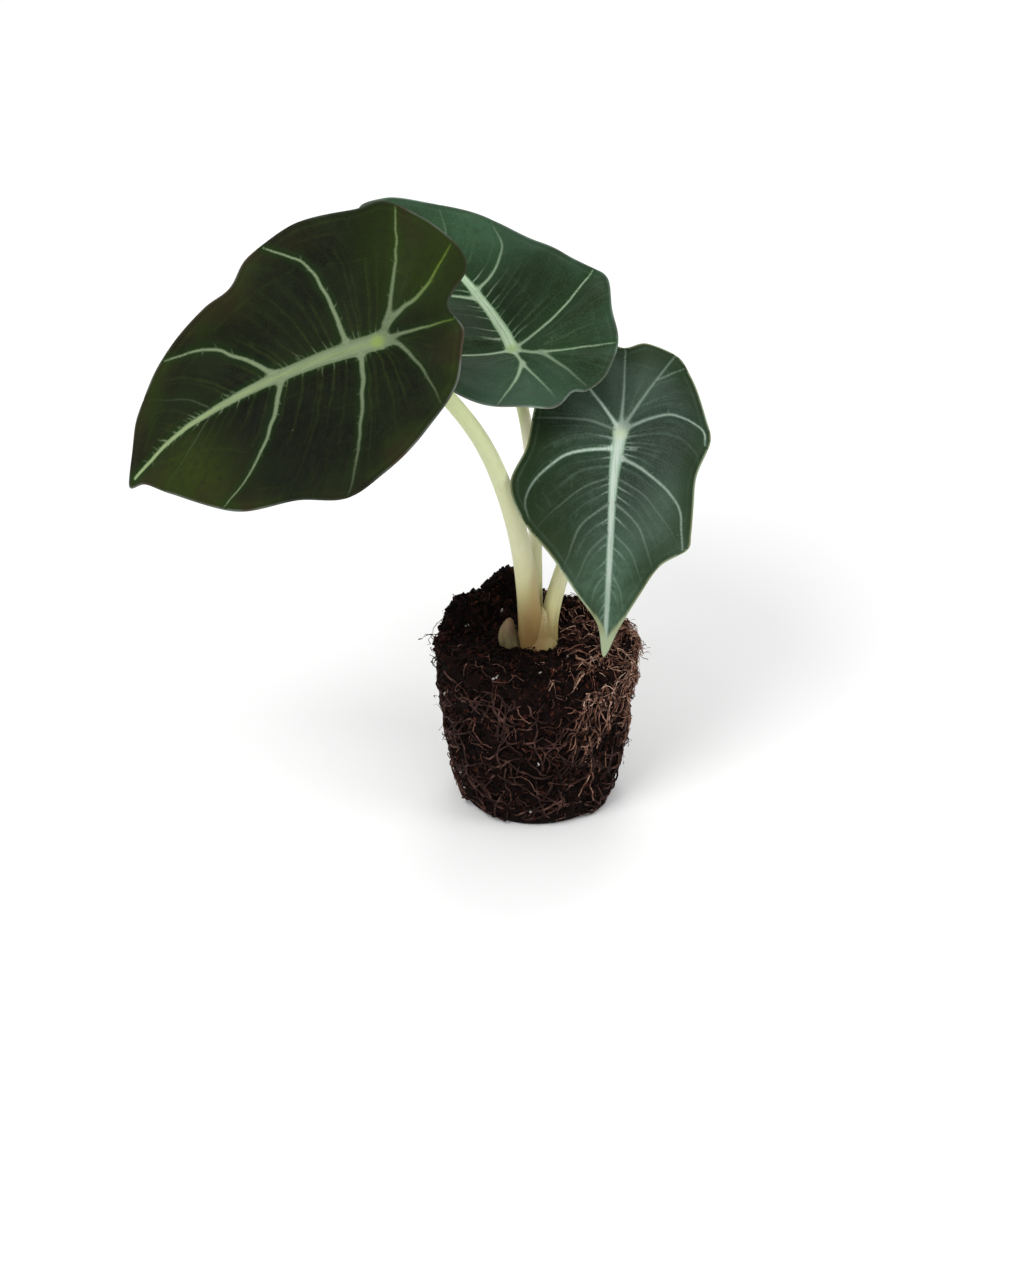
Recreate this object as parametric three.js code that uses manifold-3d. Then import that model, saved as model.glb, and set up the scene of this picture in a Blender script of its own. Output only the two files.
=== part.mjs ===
// Alocasia 'Black Velvet' (Alocasia reginula), a young plug plant with three leaves.
// Millimetres, +Z up. The origin is the centre of the root plug's flat bottom, and the plant's
// front, which its right leaf hangs towards, looks along -Y.
import * as THREE from "three";
import { mergeVertices } from "three/addons/utils/BufferGeometryUtils.js";
import Module from "manifold-3d";

// ---------- Driving dimensions ----------

// Root plug: a tapered block of growing medium.
const PLUG_HEIGHT = 42;
const PLUG_TOP_RADIUS = 24.5;
const PLUG_FOOT_RADIUS = 17.5;
const PLUG_TAPER = 0.5; // power of the side's curve: below 1 it bulges like a bag
const PLUG_ROUNDING = 2.5; // rounding of the upper rim
const PLUG_SECTORS = 36;
const PLUG_SIDE_RINGS = 10;
const PLUG_TOP_RINGS = 7;
const CLODS = [ // lumps of medium left standing on the rim, angles in degrees
  { height: 8.5, angle: 108, angleSpread: 17, radius: 20.5, radiusSpread: 6 },
  { height: 5.5, angle: 144, angleSpread: 20, radius: 20, radiusSpread: 6 },
  { height: 1.6, angle: 45, angleSpread: 22, radius: 20, radiusSpread: 5 },
];
const CRUMB_HEIGHT = 0.7; // roughness of the medium

// Roots that net the plug's side.
const ROOT_COUNT = 28;
const ROOT_RADIUS = 0.7;
const ROOT_SIDES = 4;
const ROOT_STOPS = 6; // places that each root runs through
const ROOT_END_DEPTH = 2.2; // how far a root's ends dive into the medium
const ROOT_SEED = 11;

// Corm: the short buried stem that everything grows from.
const CORM_CENTRE = { x: 0.8, y: 0.8 };
const CORM_RADIUS = 6.5;
const CORM_BOTTOM = 29;
const CORM_TOP = 41.4; // just under the medium's surface
const BUD = { x: -6.4, y: -1.6, bottom: 38, length: 11.5, radius: 2.7, lean: 12 };
const BUD_ROOM = 1; // the leaning bud's hole is this much wider than the bud
const CLEARANCE = 0.3; // gap between pieces that touch

// Blades.
const BLADE_THICKNESS = 0.9;
const BLADE_SECTORS = 60;
const BLADE_RINGS = [0.15, 0.34, 0.53, 0.71, 0.87, 1]; // parts of the way from stalk to margin
const FOLD_WIDTH = 3; // half width of the rounded valley along the midrib
const WAVE_COUNT = 7; // waves around the margin
const WAVE_REACH = 28; // distance from the stalk at which the waves are full
const PUFF_HEIGHT = 0.6; // the blade swells up between its ribs
const PUFF_WIDTH = 5;
const RIB_SAMPLES = 30; // places along a rib at which its distance is measured
const RIB_SIDES = 5;
const RIB_COVER = 0.25; // blade left above a rib
const KNUCKLE_RADIUS = 2.2; // bend under the blade that the petiole ends at
const KNUCKLE_LENGTH = 3;

// Petioles.
const PETIOLE_SIDES = 12;
const PETIOLE_STEPS = 19;

// Ribs stand out below the blade and thin from their root to their end.
const MIDRIB = { root: 1.25, end: 0.45 };
const LOBE_RIB = { root: 0.95, end: 0.4 };
const SIDE_RIB = { root: 0.85, end: 0.4 };

// Each leaf has its own frame: x runs from the petiole's end to the tip, y to the leaf's left and
// z out of its upper face. "at" is the petiole's end, and heading, pitch and roll (degrees) turn the
// frame. The bends are curvatures (1/mm) along the midrib towards tip and lobes, and across it.
const LEAVES = [
  {
    side: "left",
    at: [-35.8, -14, 127.7],
    heading: -171,
    pitch: -16,
    roll: -42,
    bendTip: 1 / 120,
    bendLobes: 1 / 120,
    bendAcross: -1 / 150,
    fold: 0.2,
    wave: 1.0,
    wavePhase: 0.6,
    outline: [
      [67.5, 8], [62.5, -4.5], [57, -10], [48, -16.5], [34.5, -21], [27, -22.3], [21, -27],
      [10, -30.5], [-4, -28.5], [-10.5, -29], [-19, -21.5], [-24, -11], [-19.5, -6], [-17.5, -3.5],
      [-19, 3], [-17, 8.5], [-13, 17.5], [-4.5, 26.5], [7, 34.5], [15.5, 38], [25.5, 33.5],
      [39, 29], [56, 15.5], [63, 9.5],
    ],
    midrib: [[0, 0], [15, -0.5], [33, 0], [52.5, 2], [65.5, 6.5]],
    lobeRibs: [
      [[0, 0], [-3, -4], [-10, -19], [-12, -26.5]],
      [[-2.6, -3.5], [-13.5, -8.5], [-21, -15.5]],
      [[0, 0], [-9, 0], [-16.5, 0]],
      [[0, 0], [-4.5, 3], [-8, 14.5], [-8.5, 21]],
    ],
    sideRibs: [
      [[7, -0.2], [7.5, -10], [10, -21.5], [16, -27]],
      [[24, -0.3], [29.5, -6.5], [37.5, -13], [46.5, -15]],
      [[4.5, 0], [6.5, 10], [11, 26], [14, 35]],
      [[23.5, -0.3], [27, 8], [37, 21], [42.5, 25]],
    ],
    petiole: {
      foot: [-1.4, -1.5],
      footRadius: 3.1,
      topRadius: 1.85,
      path: [
        [-1.6, -2.2, 50], [-3.2, -4, 66.3], [-6.4, -6, 81.8], [-12.3, -9.6, 99.3],
        [-19.9, -13.4, 112.6], [-26.7, -13.2, 119.4],
      ],
    },
  },
  {
    side: "back",
    at: [-5.7, 13, 113.7],
    heading: 125,
    pitch: 12,
    roll: -14,
    bendTip: -1 / 300,
    bendLobes: -1 / 300,
    bendAcross: -1 / 330,
    fold: 0.25,
    wave: 1.0,
    wavePhase: 2.2,
    outline: [
      [61, 3.5], [59.5, -2.5], [50.5, -10], [37, -19], [21, -22.5], [12.5, -24.5], [1.5, -28],
      [-10.5, -22], [-17.5, -18.5], [-25.5, -9], [-24.5, -4], [-22, -2], [-24, 6], [-20, 15],
      [-12, 21], [1.5, 26], [13, 23.5], [25, 22], [37, 18], [50.5, 11],
    ],
    midrib: [[0, 0], [7, -1.8], [21.8, -3.6], [42, -2.5], [59, 2.5]],
    lobeRibs: [
      [[0, 0], [-6, -4.5], [-14, -13.5], [-17, -17]],
      [[-5.5, -4.2], [-15, -5.2], [-21.5, -5]],
      [[0, 0], [-6, 1.1], [-17.3, 1.6], [-21, 2]],
      [[-5.5, 1], [-10.4, 6.1], [-16.5, 14]],
    ],
    sideRibs: [
      [[0, 0], [0.7, -13], [4, -25]],
      [[21, -3.5], [23, -9.4], [28.5, -16.4], [35, -18.3]],
      [[0, 0], [1.4, 5.8], [5, 15], [11.5, 21.5]],
      [[18.6, -3.3], [24, 1.5], [32, 11], [38, 15.5]],
    ],
    petiole: {
      foot: [0.8, 4.2],
      footRadius: 1.9,
      topRadius: 1.45,
      path: [[1.1, 4.6, 52], [1.1, 5.5, 63], [0.1, 8, 76.2], [-2.3, 11, 93.4], [-4.6, 13.6, 104]],
    },
  },
  {
    side: "right",
    at: [19.4, -2, 99.3],
    heading: -92,
    pitch: -42,
    roll: -7,
    bendTip: 1 / 120,
    bendLobes: 1 / 150,
    bendAcross: 1 / 90,
    fold: 0,
    wave: 0.9,
    wavePhase: 4.1,
    outline: [
      [53.5, -1.5], [46, -3.5], [39, -9], [31, -15], [22.5, -22], [13.5, -25.5], [4.5, -22],
      [-4.5, -20.5], [-14, -18.5], [-21, -12.5], [-24, -5.5], [-22, 0.5], [-24, 6], [-21.7, 13.5],
      [-16, 17], [-5.5, 21], [-0.5, 22], [9.5, 18.5], [16.5, 18], [23.5, 17.5], [27, 17],
      [31.5, 10.5], [38.5, 6], [47, 1.5],
    ],
    midrib: [[0, 0], [11, -1.3], [33, -1.5], [52, -1.4]],
    lobeRibs: [
      [[0, 0], [-9.8, 0.7], [-20.5, 1]],
      [[0, 0], [-8.5, 4.9], [-20.5, 12.5]],
      [[-14, 8.2], [-17.5, 14.5]],
      [[0, 0], [-5.5, -3.5], [-18, -13]],
    ],
    sideRibs: [
      [[0, 0], [-4, 7], [-5.5, 13], [-2.6, 20]],
      [[6, -0.7], [9.5, 6.2], [16.8, 14], [24.5, 15.2]],
      [[0, 0], [-2.6, -7.7], [-3.2, -18.5]],
      [[4, -0.5], [6.1, -12.2], [13, -20]],
      [[17, -1.4], [22, 4.5], [30.5, 8]],
      [[17, -1.4], [23, -8.5], [31, -11.5]],
    ],
    petiole: {
      foot: [4.4, 0.4],
      footRadius: 2.2,
      topRadius: 1.6,
      path: [[4.9, 1.6, 49], [6.8, 5, 58.5], [12.7, 8, 74.9], [17.6, 5, 88.5]],
    },
  },
];

// ---------- Materials ----------

const MEDIUM_MATERIAL = new THREE.MeshStandardMaterial({ color: "#2a1a12", roughness: 0.95, metalness: 0 });
const CORM_MATERIAL = new THREE.MeshStandardMaterial({ color: "#8f8a5c", roughness: 0.7, metalness: 0 });
const PETIOLE_MATERIAL = new THREE.MeshStandardMaterial({ color: "#dfe3bb", roughness: 0.5, metalness: 0 });
const BLADE_MATERIAL = new THREE.MeshStandardMaterial({ color: "#1f3320", roughness: 0.75, metalness: 0 });

// ---------- Small helpers ----------

const manifoldLibrary = await Module();
manifoldLibrary.setup();

// A closed mesh as a solid that can be joined and cut.
function solidOf(geometry) {
  const bare = geometry.clone();
  bare.deleteAttribute("normal");
  bare.deleteAttribute("uv");
  const merged = mergeVertices(bare, 1e-4);
  return new manifoldLibrary.Manifold(new manifoldLibrary.Mesh({
    numProp: 3,
    vertProperties: new Float32Array(merged.attributes.position.array),
    triVerts: new Uint32Array(merged.index.array),
  }));
}

function geometryOf(solid) {
  const mesh = solid.getMesh();
  const geometry = new THREE.BufferGeometry();
  geometry.setAttribute("position", new THREE.BufferAttribute(mesh.vertProperties, 3));
  geometry.setIndex(new THREE.BufferAttribute(mesh.triVerts, 1));
  geometry.computeVertexNormals();
  return geometry;
}

function joined(geometries) {
  const solids = geometries.map(solidOf);
  return solids.reduce((whole, next) => whole.add(next));
}

// Evenly spread numbers in 0..1 that are the same on every run.
function randomSource(seed) {
  let state = seed;
  return () => {
    state = (Math.imul(state, 1664525) + 1013904223) >>> 0;
    return state / 2 ** 32;
  };
}

function bump(value, centre, spread) {
  return Math.exp(-(((value - centre) / spread) ** 2));
}

// A closed skin over rings of points, from the point "first" over the rings to the point "last".
// The rings run anticlockwise as seen from the last point.
function closedSkin(first, rings, last) {
  const points = [first, ...rings.flat(), last];
  const sectors = rings[0].length;
  const lastPoint = points.length - 1;
  const faces = [];
  for (let sector = 0; sector < sectors; sector += 1) {
    const next = (sector + 1) % sectors;
    faces.push(0, 1 + next, 1 + sector);
    for (let ring = 0; ring + 1 < rings.length; ring += 1) {
      const low = 1 + ring * sectors;
      const high = low + sectors;
      faces.push(low + sector, low + next, high + next);
      faces.push(low + sector, high + next, high + sector);
    }
    const top = 1 + (rings.length - 1) * sectors;
    faces.push(top + sector, top + next, lastPoint);
  }
  const geometry = new THREE.BufferGeometry().setFromPoints(points);
  geometry.setIndex(faces);
  geometry.computeVertexNormals();
  return geometry;
}

// A closed round rod along a curve, with its own radius at each part t (0..1) of its length.
function rod(curve, radiusAt, sides, steps) {
  const frames = curve.computeFrenetFrames(steps, false);
  const rings = [];
  for (let step = 0; step <= steps; step += 1) {
    const part = step / steps;
    const centre = curve.getPointAt(part);
    const ring = [];
    for (let side = 0; side < sides; side += 1) {
      const angle = (2 * Math.PI * side) / sides;
      const out = frames.normals[step].clone().multiplyScalar(Math.cos(angle));
      out.addScaledVector(frames.binormals[step], Math.sin(angle));
      ring.push(centre.clone().addScaledVector(out, radiusAt(part)));
    }
    rings.push(ring);
  }
  return closedSkin(curve.getPointAt(0), rings, curve.getPointAt(1));
}

function smoothCurve(points) {
  const places = points.map((point) => new THREE.Vector3(...point));
  return new THREE.CatmullRomCurve3(places, false, "centripetal");
}

function flatCurve(points, closed) {
  const places = points.map(([x, y]) => new THREE.Vector3(x, y, 0));
  return new THREE.CatmullRomCurve3(places, closed, "centripetal");
}

function namedMesh(name, geometry, material) {
  const mesh = new THREE.Mesh(geometry, material);
  mesh.name = name;
  return mesh;
}

// ---------- Root plug ----------

// Crumbly unevenness of the medium, about -1..1.
function crumbs(a, b) {
  return (
    Math.sin(2.3 * a + 0.7 * b) * 0.4 +
    Math.sin(1.1 * a - 1.9 * b + 1.3) * 0.35 +
    Math.sin(3.7 * a + 2.9 * b + 0.4) * 0.25
  );
}

function plugSideRadius(angle, z) {
  const part = z / PLUG_HEIGHT;
  const taper = PLUG_FOOT_RADIUS + (PLUG_TOP_RADIUS - PLUG_FOOT_RADIUS) * part ** PLUG_TAPER;
  return taper + CRUMB_HEIGHT * crumbs(3 * angle, z / 6);
}

// Height of the medium's surface: nearly level, smooth round the stems, with the clods on its rim.
function plugTopHeight(x, y) {
  const radius = Math.hypot(x, y);
  const angle = THREE.MathUtils.radToDeg(Math.atan2(y, x));
  let height = PLUG_HEIGHT + CRUMB_HEIGHT * crumbs(x / 2.2, y / 2.2) * (1 - bump(radius, 0, 9));
  for (const clod of CLODS) {
    const share = bump(angle, clod.angle, clod.angleSpread) * bump(radius, clod.radius, clod.radiusSpread);
    height += clod.height * share;
  }
  return height;
}

function plugGeometry() {
  const rings = [];
  const ringAt = (pointAt) => {
    const ring = [];
    for (let sector = 0; sector < PLUG_SECTORS; sector += 1) {
      ring.push(pointAt((2 * Math.PI * sector) / PLUG_SECTORS));
    }
    rings.push(ring);
  };
  const rimRadius = (angle) => plugSideRadius(angle, PLUG_HEIGHT) - PLUG_ROUNDING;
  for (let step = 0; step <= PLUG_SIDE_RINGS; step += 1) {
    ringAt((angle) => {
      const rim = rimRadius(angle);
      const rimHeight = plugTopHeight(rim * Math.cos(angle), rim * Math.sin(angle));
      const z = ((rimHeight - PLUG_ROUNDING) * step) / PLUG_SIDE_RINGS;
      const radius = plugSideRadius(angle, z);
      return new THREE.Vector3(radius * Math.cos(angle), radius * Math.sin(angle), z);
    });
  }
  for (let step = 0; step < PLUG_TOP_RINGS; step += 1) {
    ringAt((angle) => {
      const radius = rimRadius(angle) * (1 - step / PLUG_TOP_RINGS);
      const x = radius * Math.cos(angle);
      const y = radius * Math.sin(angle);
      return new THREE.Vector3(x, y, plugTopHeight(x, y));
    });
  }
  return closedSkin(new THREE.Vector3(0, 0, 0), rings, new THREE.Vector3(0, 0, plugTopHeight(0, 0)));
}

// One root: an arc over the plug's side, half sunk in it, with both ends deep in the medium. The two
// steps are irrational, so that the roots start evenly spread over the side.
function rootGeometry(index, random) {
  const startAngle = 2 * Math.PI * ((0.7549 * index) % 1);
  const startHeight = PLUG_HEIGHT * (0.1 + 0.75 * ((0.5698 * index) % 1));
  const turn = (0.6 + 0.8 * random()) * (random() < 0.5 ? -1 : 1);
  const rise = PLUG_HEIGHT * 0.7 * (random() - 0.5);
  const bow = PLUG_HEIGHT * 0.22 * (random() - 0.5);
  const points = [];
  for (let stop = 0; stop <= ROOT_STOPS; stop += 1) {
    const part = stop / ROOT_STOPS;
    const angle = startAngle + turn * part;
    const height = startHeight + rise * part + bow * Math.sin(Math.PI * part);
    const z = THREE.MathUtils.clamp(height, 3, PLUG_HEIGHT - 5);
    const sunk = ROOT_END_DEPTH * Math.abs(2 * part - 1) ** 6;
    const radius = plugSideRadius(angle, z) - sunk;
    points.push([radius * Math.cos(angle), radius * Math.sin(angle), z]);
  }
  return rod(smoothCurve(points), () => ROOT_RADIUS, ROOT_SIDES, ROOT_STOPS);
}

// A round hole from height z up through the medium's surface.
function holeGeometry(x, y, z, radius) {
  const height = 2 * PLUG_HEIGHT - z;
  const hole = new THREE.CylinderGeometry(radius, radius, height, 28);
  hole.rotateX(Math.PI / 2);
  hole.translate(x, y, z + height / 2);
  return hole;
}

function rootPlug() {
  const random = randomSource(ROOT_SEED);
  const pieces = [plugGeometry()];
  for (let root = 0; root < ROOT_COUNT; root += 1) {
    pieces.push(rootGeometry(root, random));
  }
  const holes = joined([
    holeGeometry(CORM_CENTRE.x, CORM_CENTRE.y, CORM_BOTTOM - CLEARANCE, CORM_RADIUS + CLEARANCE),
    holeGeometry(BUD.x, BUD.y, BUD.bottom - CLEARANCE, BUD.radius + BUD_ROOM),
  ]);
  return namedMesh("root_plug", geometryOf(joined(pieces).subtract(holes)), MEDIUM_MATERIAL);
}

// ---------- Corm with its side bud ----------

// A solid of revolution about +Z from [radius, height] pairs that start and end on the axis.
function turned(profile, sectors) {
  const geometry = new THREE.LatheGeometry(profile.map((point) => new THREE.Vector2(...point)), sectors);
  return geometry.rotateX(Math.PI / 2);
}

function corm() {
  const height = CORM_TOP - CORM_BOTTOM;
  const body = turned([
    [0, 0],
    [0.45 * CORM_RADIUS, 0.03 * height],
    [0.85 * CORM_RADIUS, 0.25 * height],
    [CORM_RADIUS, 0.6 * height],
    [0.97 * CORM_RADIUS, 0.95 * height],
    [0.93 * CORM_RADIUS, height],
    [0, height],
  ], 24);
  body.translate(CORM_CENTRE.x, CORM_CENTRE.y, CORM_BOTTOM);
  const bud = turned([
    [0, 0],
    [0.75 * BUD.radius, 0.05 * BUD.length],
    [BUD.radius, 0.3 * BUD.length],
    [0.8 * BUD.radius, 0.6 * BUD.length],
    [0.35 * BUD.radius, 0.88 * BUD.length],
    [0, BUD.length],
  ], 16);
  bud.rotateY(-THREE.MathUtils.degToRad(BUD.lean));
  bud.translate(BUD.x, BUD.y, BUD.bottom);
  return namedMesh("corm", geometryOf(joined([body, bud])), CORM_MATERIAL);
}

// ---------- Leaves ----------

// The place along and the drop below a straight line that is bent to an arc of that curvature.
function arc(curvature, length) {
  const turn = curvature * length;
  return { along: Math.sin(turn) / curvature, drop: (1 - Math.cos(turn)) / curvature, turn };
}

// Points along all of a leaf's ribs, on the flat leaf.
function ribTrail(leaf) {
  const ribs = [leaf.midrib, ...leaf.lobeRibs, ...leaf.sideRibs];
  return ribs.flatMap((rib) => flatCurve(rib, false).getSpacedPoints(RIB_SAMPLES));
}

const ribTrails = new Map(LEAVES.map((leaf) => [leaf, ribTrail(leaf)]));

// The blade's upper face over the flat leaf's point (x, y), raised by "lift", in the leaf's frame.
function bladePoint(leaf, x, y, lift) {
  const reach = Math.hypot(x, y);
  const waveShare = Math.min(1, (reach / WAVE_REACH) ** 3);
  const wave = leaf.wave * waveShare * Math.sin(WAVE_COUNT * Math.atan2(y, x) + leaf.wavePhase);
  const fold = leaf.fold * (Math.hypot(y, FOLD_WIDTH) - FOLD_WIDTH);
  const across = arc(leaf.bendAcross, y);
  const ribDistance = Math.min(...ribTrails.get(leaf).map((place) => Math.hypot(place.x - x, place.y - y)));
  const puff = PUFF_HEIGHT * (1 - bump(ribDistance, 0, PUFF_WIDTH));
  const height = fold + wave + puff - across.drop + lift;
  const lengthwise = arc(x > 0 ? leaf.bendTip : leaf.bendLobes, x);
  return new THREE.Vector3(
    lengthwise.along + height * Math.sin(lengthwise.turn),
    across.along,
    height * Math.cos(lengthwise.turn) - lengthwise.drop,
  );
}

// The blade without its ribs: rings from the stalk to the waved margin, alike on both faces.
function laminaGeometry(leaf) {
  const outline = flatCurve(leaf.outline, true);
  const margin = outline.getSpacedPoints(BLADE_SECTORS).slice(0, BLADE_SECTORS).reverse();
  const ringAt = (part, lift) => margin.map(({ x, y }) => bladePoint(leaf, part * x, part * y, lift));
  const underFace = BLADE_RINGS.map((part) => ringAt(part, -BLADE_THICKNESS));
  const upperFace = BLADE_RINGS.map((part) => ringAt(part, 0)).reverse();
  const underCentre = bladePoint(leaf, 0, 0, -BLADE_THICKNESS);
  const upperCentre = bladePoint(leaf, 0, 0, 0);
  return closedSkin(underCentre, [...underFace, ...upperFace], upperCentre);
}

// A curve just under the upper face, deep enough that a rib along it stays covered.
class RibCurve extends THREE.Curve {
  constructor(leaf, points, radiusAt) {
    super();
    this.leaf = leaf;
    this.plan = flatCurve(points, false);
    this.radiusAt = radiusAt;
  }

  getPoint(part) {
    const { x, y } = this.plan.getPoint(part);
    return bladePoint(this.leaf, x, y, -(this.radiusAt(part) + RIB_COVER));
  }
}

function ribGeometry(leaf, points, size, steps) {
  const radiusAt = (part) => THREE.MathUtils.lerp(size.root, size.end, part);
  return rod(new RibCurve(leaf, points, radiusAt), radiusAt, RIB_SIDES, steps);
}

// The frame that a leaf's own coordinates are turned and moved by.
function leafMatrix(leaf) {
  const [roll, pitch, heading] = [leaf.roll, -leaf.pitch, leaf.heading].map(THREE.MathUtils.degToRad);
  const turn = new THREE.Matrix4().makeRotationFromEuler(new THREE.Euler(roll, pitch, heading, "ZYX"));
  return turn.setPosition(...leaf.at);
}

// The way that the petiole comes from, as a direction in the leaf's frame.
function stalkWay(leaf) {
  const beforeBlade = new THREE.Vector3(...leaf.petiole.path.at(-1));
  return beforeBlade.applyMatrix4(leafMatrix(leaf).invert()).normalize();
}

// The knuckle leaves the blade's back squarely and bends towards the petiole.
function knuckleCurve(leaf) {
  const root = new THREE.Vector3(0, 0, -2 * RIB_COVER);
  const bend = new THREE.Vector3(0, 0, -KNUCKLE_RADIUS);
  const end = bend.clone().addScaledVector(stalkWay(leaf), KNUCKLE_LENGTH);
  return new THREE.CatmullRomCurve3([root, bend, end], false, "centripetal");
}

function knuckleGeometry(leaf) {
  const radiusAt = (part) => THREE.MathUtils.lerp(KNUCKLE_RADIUS, leaf.petiole.topRadius, part);
  return rod(knuckleCurve(leaf), radiusAt, PETIOLE_SIDES, 5);
}

function blade(leaf) {
  const pieces = [
    laminaGeometry(leaf),
    knuckleGeometry(leaf),
    ribGeometry(leaf, leaf.midrib, MIDRIB, 10),
    ...leaf.lobeRibs.map((points) => ribGeometry(leaf, points, LOBE_RIB, 5)),
    ...leaf.sideRibs.map((points) => ribGeometry(leaf, points, SIDE_RIB, 6)),
  ];
  const mesh = namedMesh(`blade_${leaf.side}`, geometryOf(joined(pieces)), BLADE_MATERIAL);
  leafMatrix(leaf).decompose(mesh.position, mesh.quaternion, mesh.scale);
  return mesh;
}

// The petiole stands on the corm, thickens towards its sheathing foot and ends at the knuckle.
function petiole(leaf) {
  const { foot, footRadius, topRadius, path } = leaf.petiole;
  const knuckle = knuckleCurve(leaf);
  const way = knuckle.getTangent(1);
  const beyondKnuckle = (distance) => {
    const place = knuckle.getPoint(1).addScaledVector(way, distance);
    return place.applyMatrix4(leafMatrix(leaf)).toArray();
  };
  const route = smoothCurve([
    [...foot, CORM_TOP + CLEARANCE],
    [...foot, CORM_TOP + CLEARANCE + 1.5],
    ...path,
    beyondKnuckle(CLEARANCE + 2.5),
    beyondKnuckle(CLEARANCE),
  ]);
  const radiusAt = (part) => topRadius + (footRadius - topRadius) * (1 - part) ** 2;
  const geometry = rod(route, radiusAt, PETIOLE_SIDES, PETIOLE_STEPS);
  return namedMesh(`petiole_${leaf.side}`, geometry, PETIOLE_MATERIAL);
}

// ---------- The plant ----------

const plant = new THREE.Group();
plant.add(rootPlug(), corm());
for (const leaf of LEAVES) {
  plant.add(petiole(leaf), blade(leaf));
}

export default plant;
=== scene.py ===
# %% [markdown]
# # A young alocasia black velvet plant, dressed over its CAD frame
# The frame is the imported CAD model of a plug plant: a root plug, a corm with a side bud, three
# petioles (leaf stalks) and three blades. Each CAD solid stays in the simulation, and a finer piece
# made here stands for it. Every size below is in millimetres and becomes metres at the very end of
# a piece's making, because leaf forms are easier to think about in millimetres.

# %% Load the frame
import math

import bpy
import numpy as np
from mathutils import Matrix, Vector, kdtree, noise
from mathutils.geometry import delaunay_2d_cdt


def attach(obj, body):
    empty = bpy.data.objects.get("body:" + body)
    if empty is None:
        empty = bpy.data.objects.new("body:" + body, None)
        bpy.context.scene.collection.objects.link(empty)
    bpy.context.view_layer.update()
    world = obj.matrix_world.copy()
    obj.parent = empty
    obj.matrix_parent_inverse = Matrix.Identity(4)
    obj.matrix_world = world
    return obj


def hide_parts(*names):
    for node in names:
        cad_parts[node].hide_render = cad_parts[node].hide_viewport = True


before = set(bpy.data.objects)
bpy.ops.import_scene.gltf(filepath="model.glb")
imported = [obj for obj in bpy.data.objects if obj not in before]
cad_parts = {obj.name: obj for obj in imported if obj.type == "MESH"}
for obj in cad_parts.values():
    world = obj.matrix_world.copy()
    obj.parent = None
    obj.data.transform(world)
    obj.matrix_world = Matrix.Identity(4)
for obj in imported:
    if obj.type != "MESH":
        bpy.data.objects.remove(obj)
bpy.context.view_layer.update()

MM = 0.001
print("CAD nodes:", ", ".join(sorted(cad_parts)))

# %% [markdown]
# ## Camera
# The camera comes first, so that every later choice of detail can be judged in its picture. It looks
# 30 degrees down on the plant from the front through a long 80 mm lens, which keeps the leaves
# nearly free of perspective, as a product picture does.

# %% Camera
camera_data = bpy.data.cameras.new("camera")
camera_data.lens = 80
camera_data.sensor_width = 36
camera_data.clip_start = 0.01
camera = bpy.data.objects.new("camera", camera_data)
bpy.context.collection.objects.link(camera)
bpy.context.scene.camera = camera
camera.location = (-0.0059, -0.6010, 0.3890)
camera.rotation_euler = (math.radians(60), 0, 0)
print("camera distance", round(math.dist(camera.location, (-0.0059, 0, 0.042)), 3), "m")

# %% [markdown]
# ## Helpers for lines
# Stalks, veins and leaf margins are all smooth lines through a few given points. A centripetal
# Catmull-Rom line passes through its points without loops or overshoot, which a Bezier needs
# hand-set handles for. It is resampled at an even gap, so that meshes built on it are even too.

# %% Smooth lines
def smooth_line(points, gap, closed=False):
    """Points every `gap` along a smooth line through the given points, in 2-D or 3-D."""
    points = np.asarray(points, float)
    if closed:
        padded = np.vstack([points[-1:], points, points[:2]])
    else:
        first, last = 2 * points[0] - points[1], 2 * points[-1] - points[-2]
        padded = np.vstack([first, points, last])
    t = np.linspace(0, 1, 24, endpoint=False)[:, None]
    spans = []
    for p0, p1, p2, p3 in zip(padded, padded[1:], padded[2:], padded[3:]):
        d0, d1, d2 = (np.linalg.norm(b - a) ** 0.5 for a, b in ((p0, p1), (p1, p2), (p2, p3)))
        slope1 = d1 * ((p1 - p0) / d0 - (p2 - p0) / (d0 + d1) + (p2 - p1) / d1)
        slope2 = d1 * ((p2 - p1) / d1 - (p3 - p1) / (d1 + d2) + (p3 - p2) / d2)
        square = 3 * (p2 - p1) - 2 * slope1 - slope2
        cube = 2 * (p1 - p2) + slope1 + slope2
        spans.append(p1 + slope1 * t + square * t**2 + cube * t**3)
    return even_line(np.vstack([*spans, padded[-2]]), gap)


def even_line(line, gap):
    """The same line with points evenly spaced at about `gap`."""
    along = np.concatenate([[0], np.cumsum(np.linalg.norm(np.diff(line, axis=0), axis=1))])
    places = np.linspace(0, along[-1], max(2, round(along[-1] / gap)) + 1)
    return np.stack([np.interp(places, along, line[:, k]) for k in range(line.shape[1])], axis=1)


def bump(value, centre, spread):
    return np.exp(-(((value - centre) / spread) ** 2))


def ease(value, low, high):
    """0 below `low`, 1 above `high`, and a smooth change between them."""
    share = np.clip((value - low) / (high - low), 0, 1)
    return share * share * (3 - 2 * share)


# %% [markdown]
# ## Helpers for meshes
# One function makes a mesh object from points in millimetres. Others store a number per point on
# it, for its material to read, and give it its place in the frame: every piece here rides on the
# plant's one body and stands for a CAD node.

# %% Mesh helpers
def new_piece(name, points_mm, faces, finishes, smooth=True):
    """A mesh object at the origin from points in millimetres."""
    mesh = bpy.data.meshes.new(name)
    mesh.from_pydata((np.asarray(points_mm) * MM).tolist(), [], np.asarray(faces).tolist())
    mesh.polygons.foreach_set("use_smooth", [smooth] * len(mesh.polygons))
    for finish in finishes:
        mesh.materials.append(finish)
    piece = bpy.data.objects.new(name, mesh)
    bpy.context.collection.objects.link(piece)
    return piece


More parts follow.
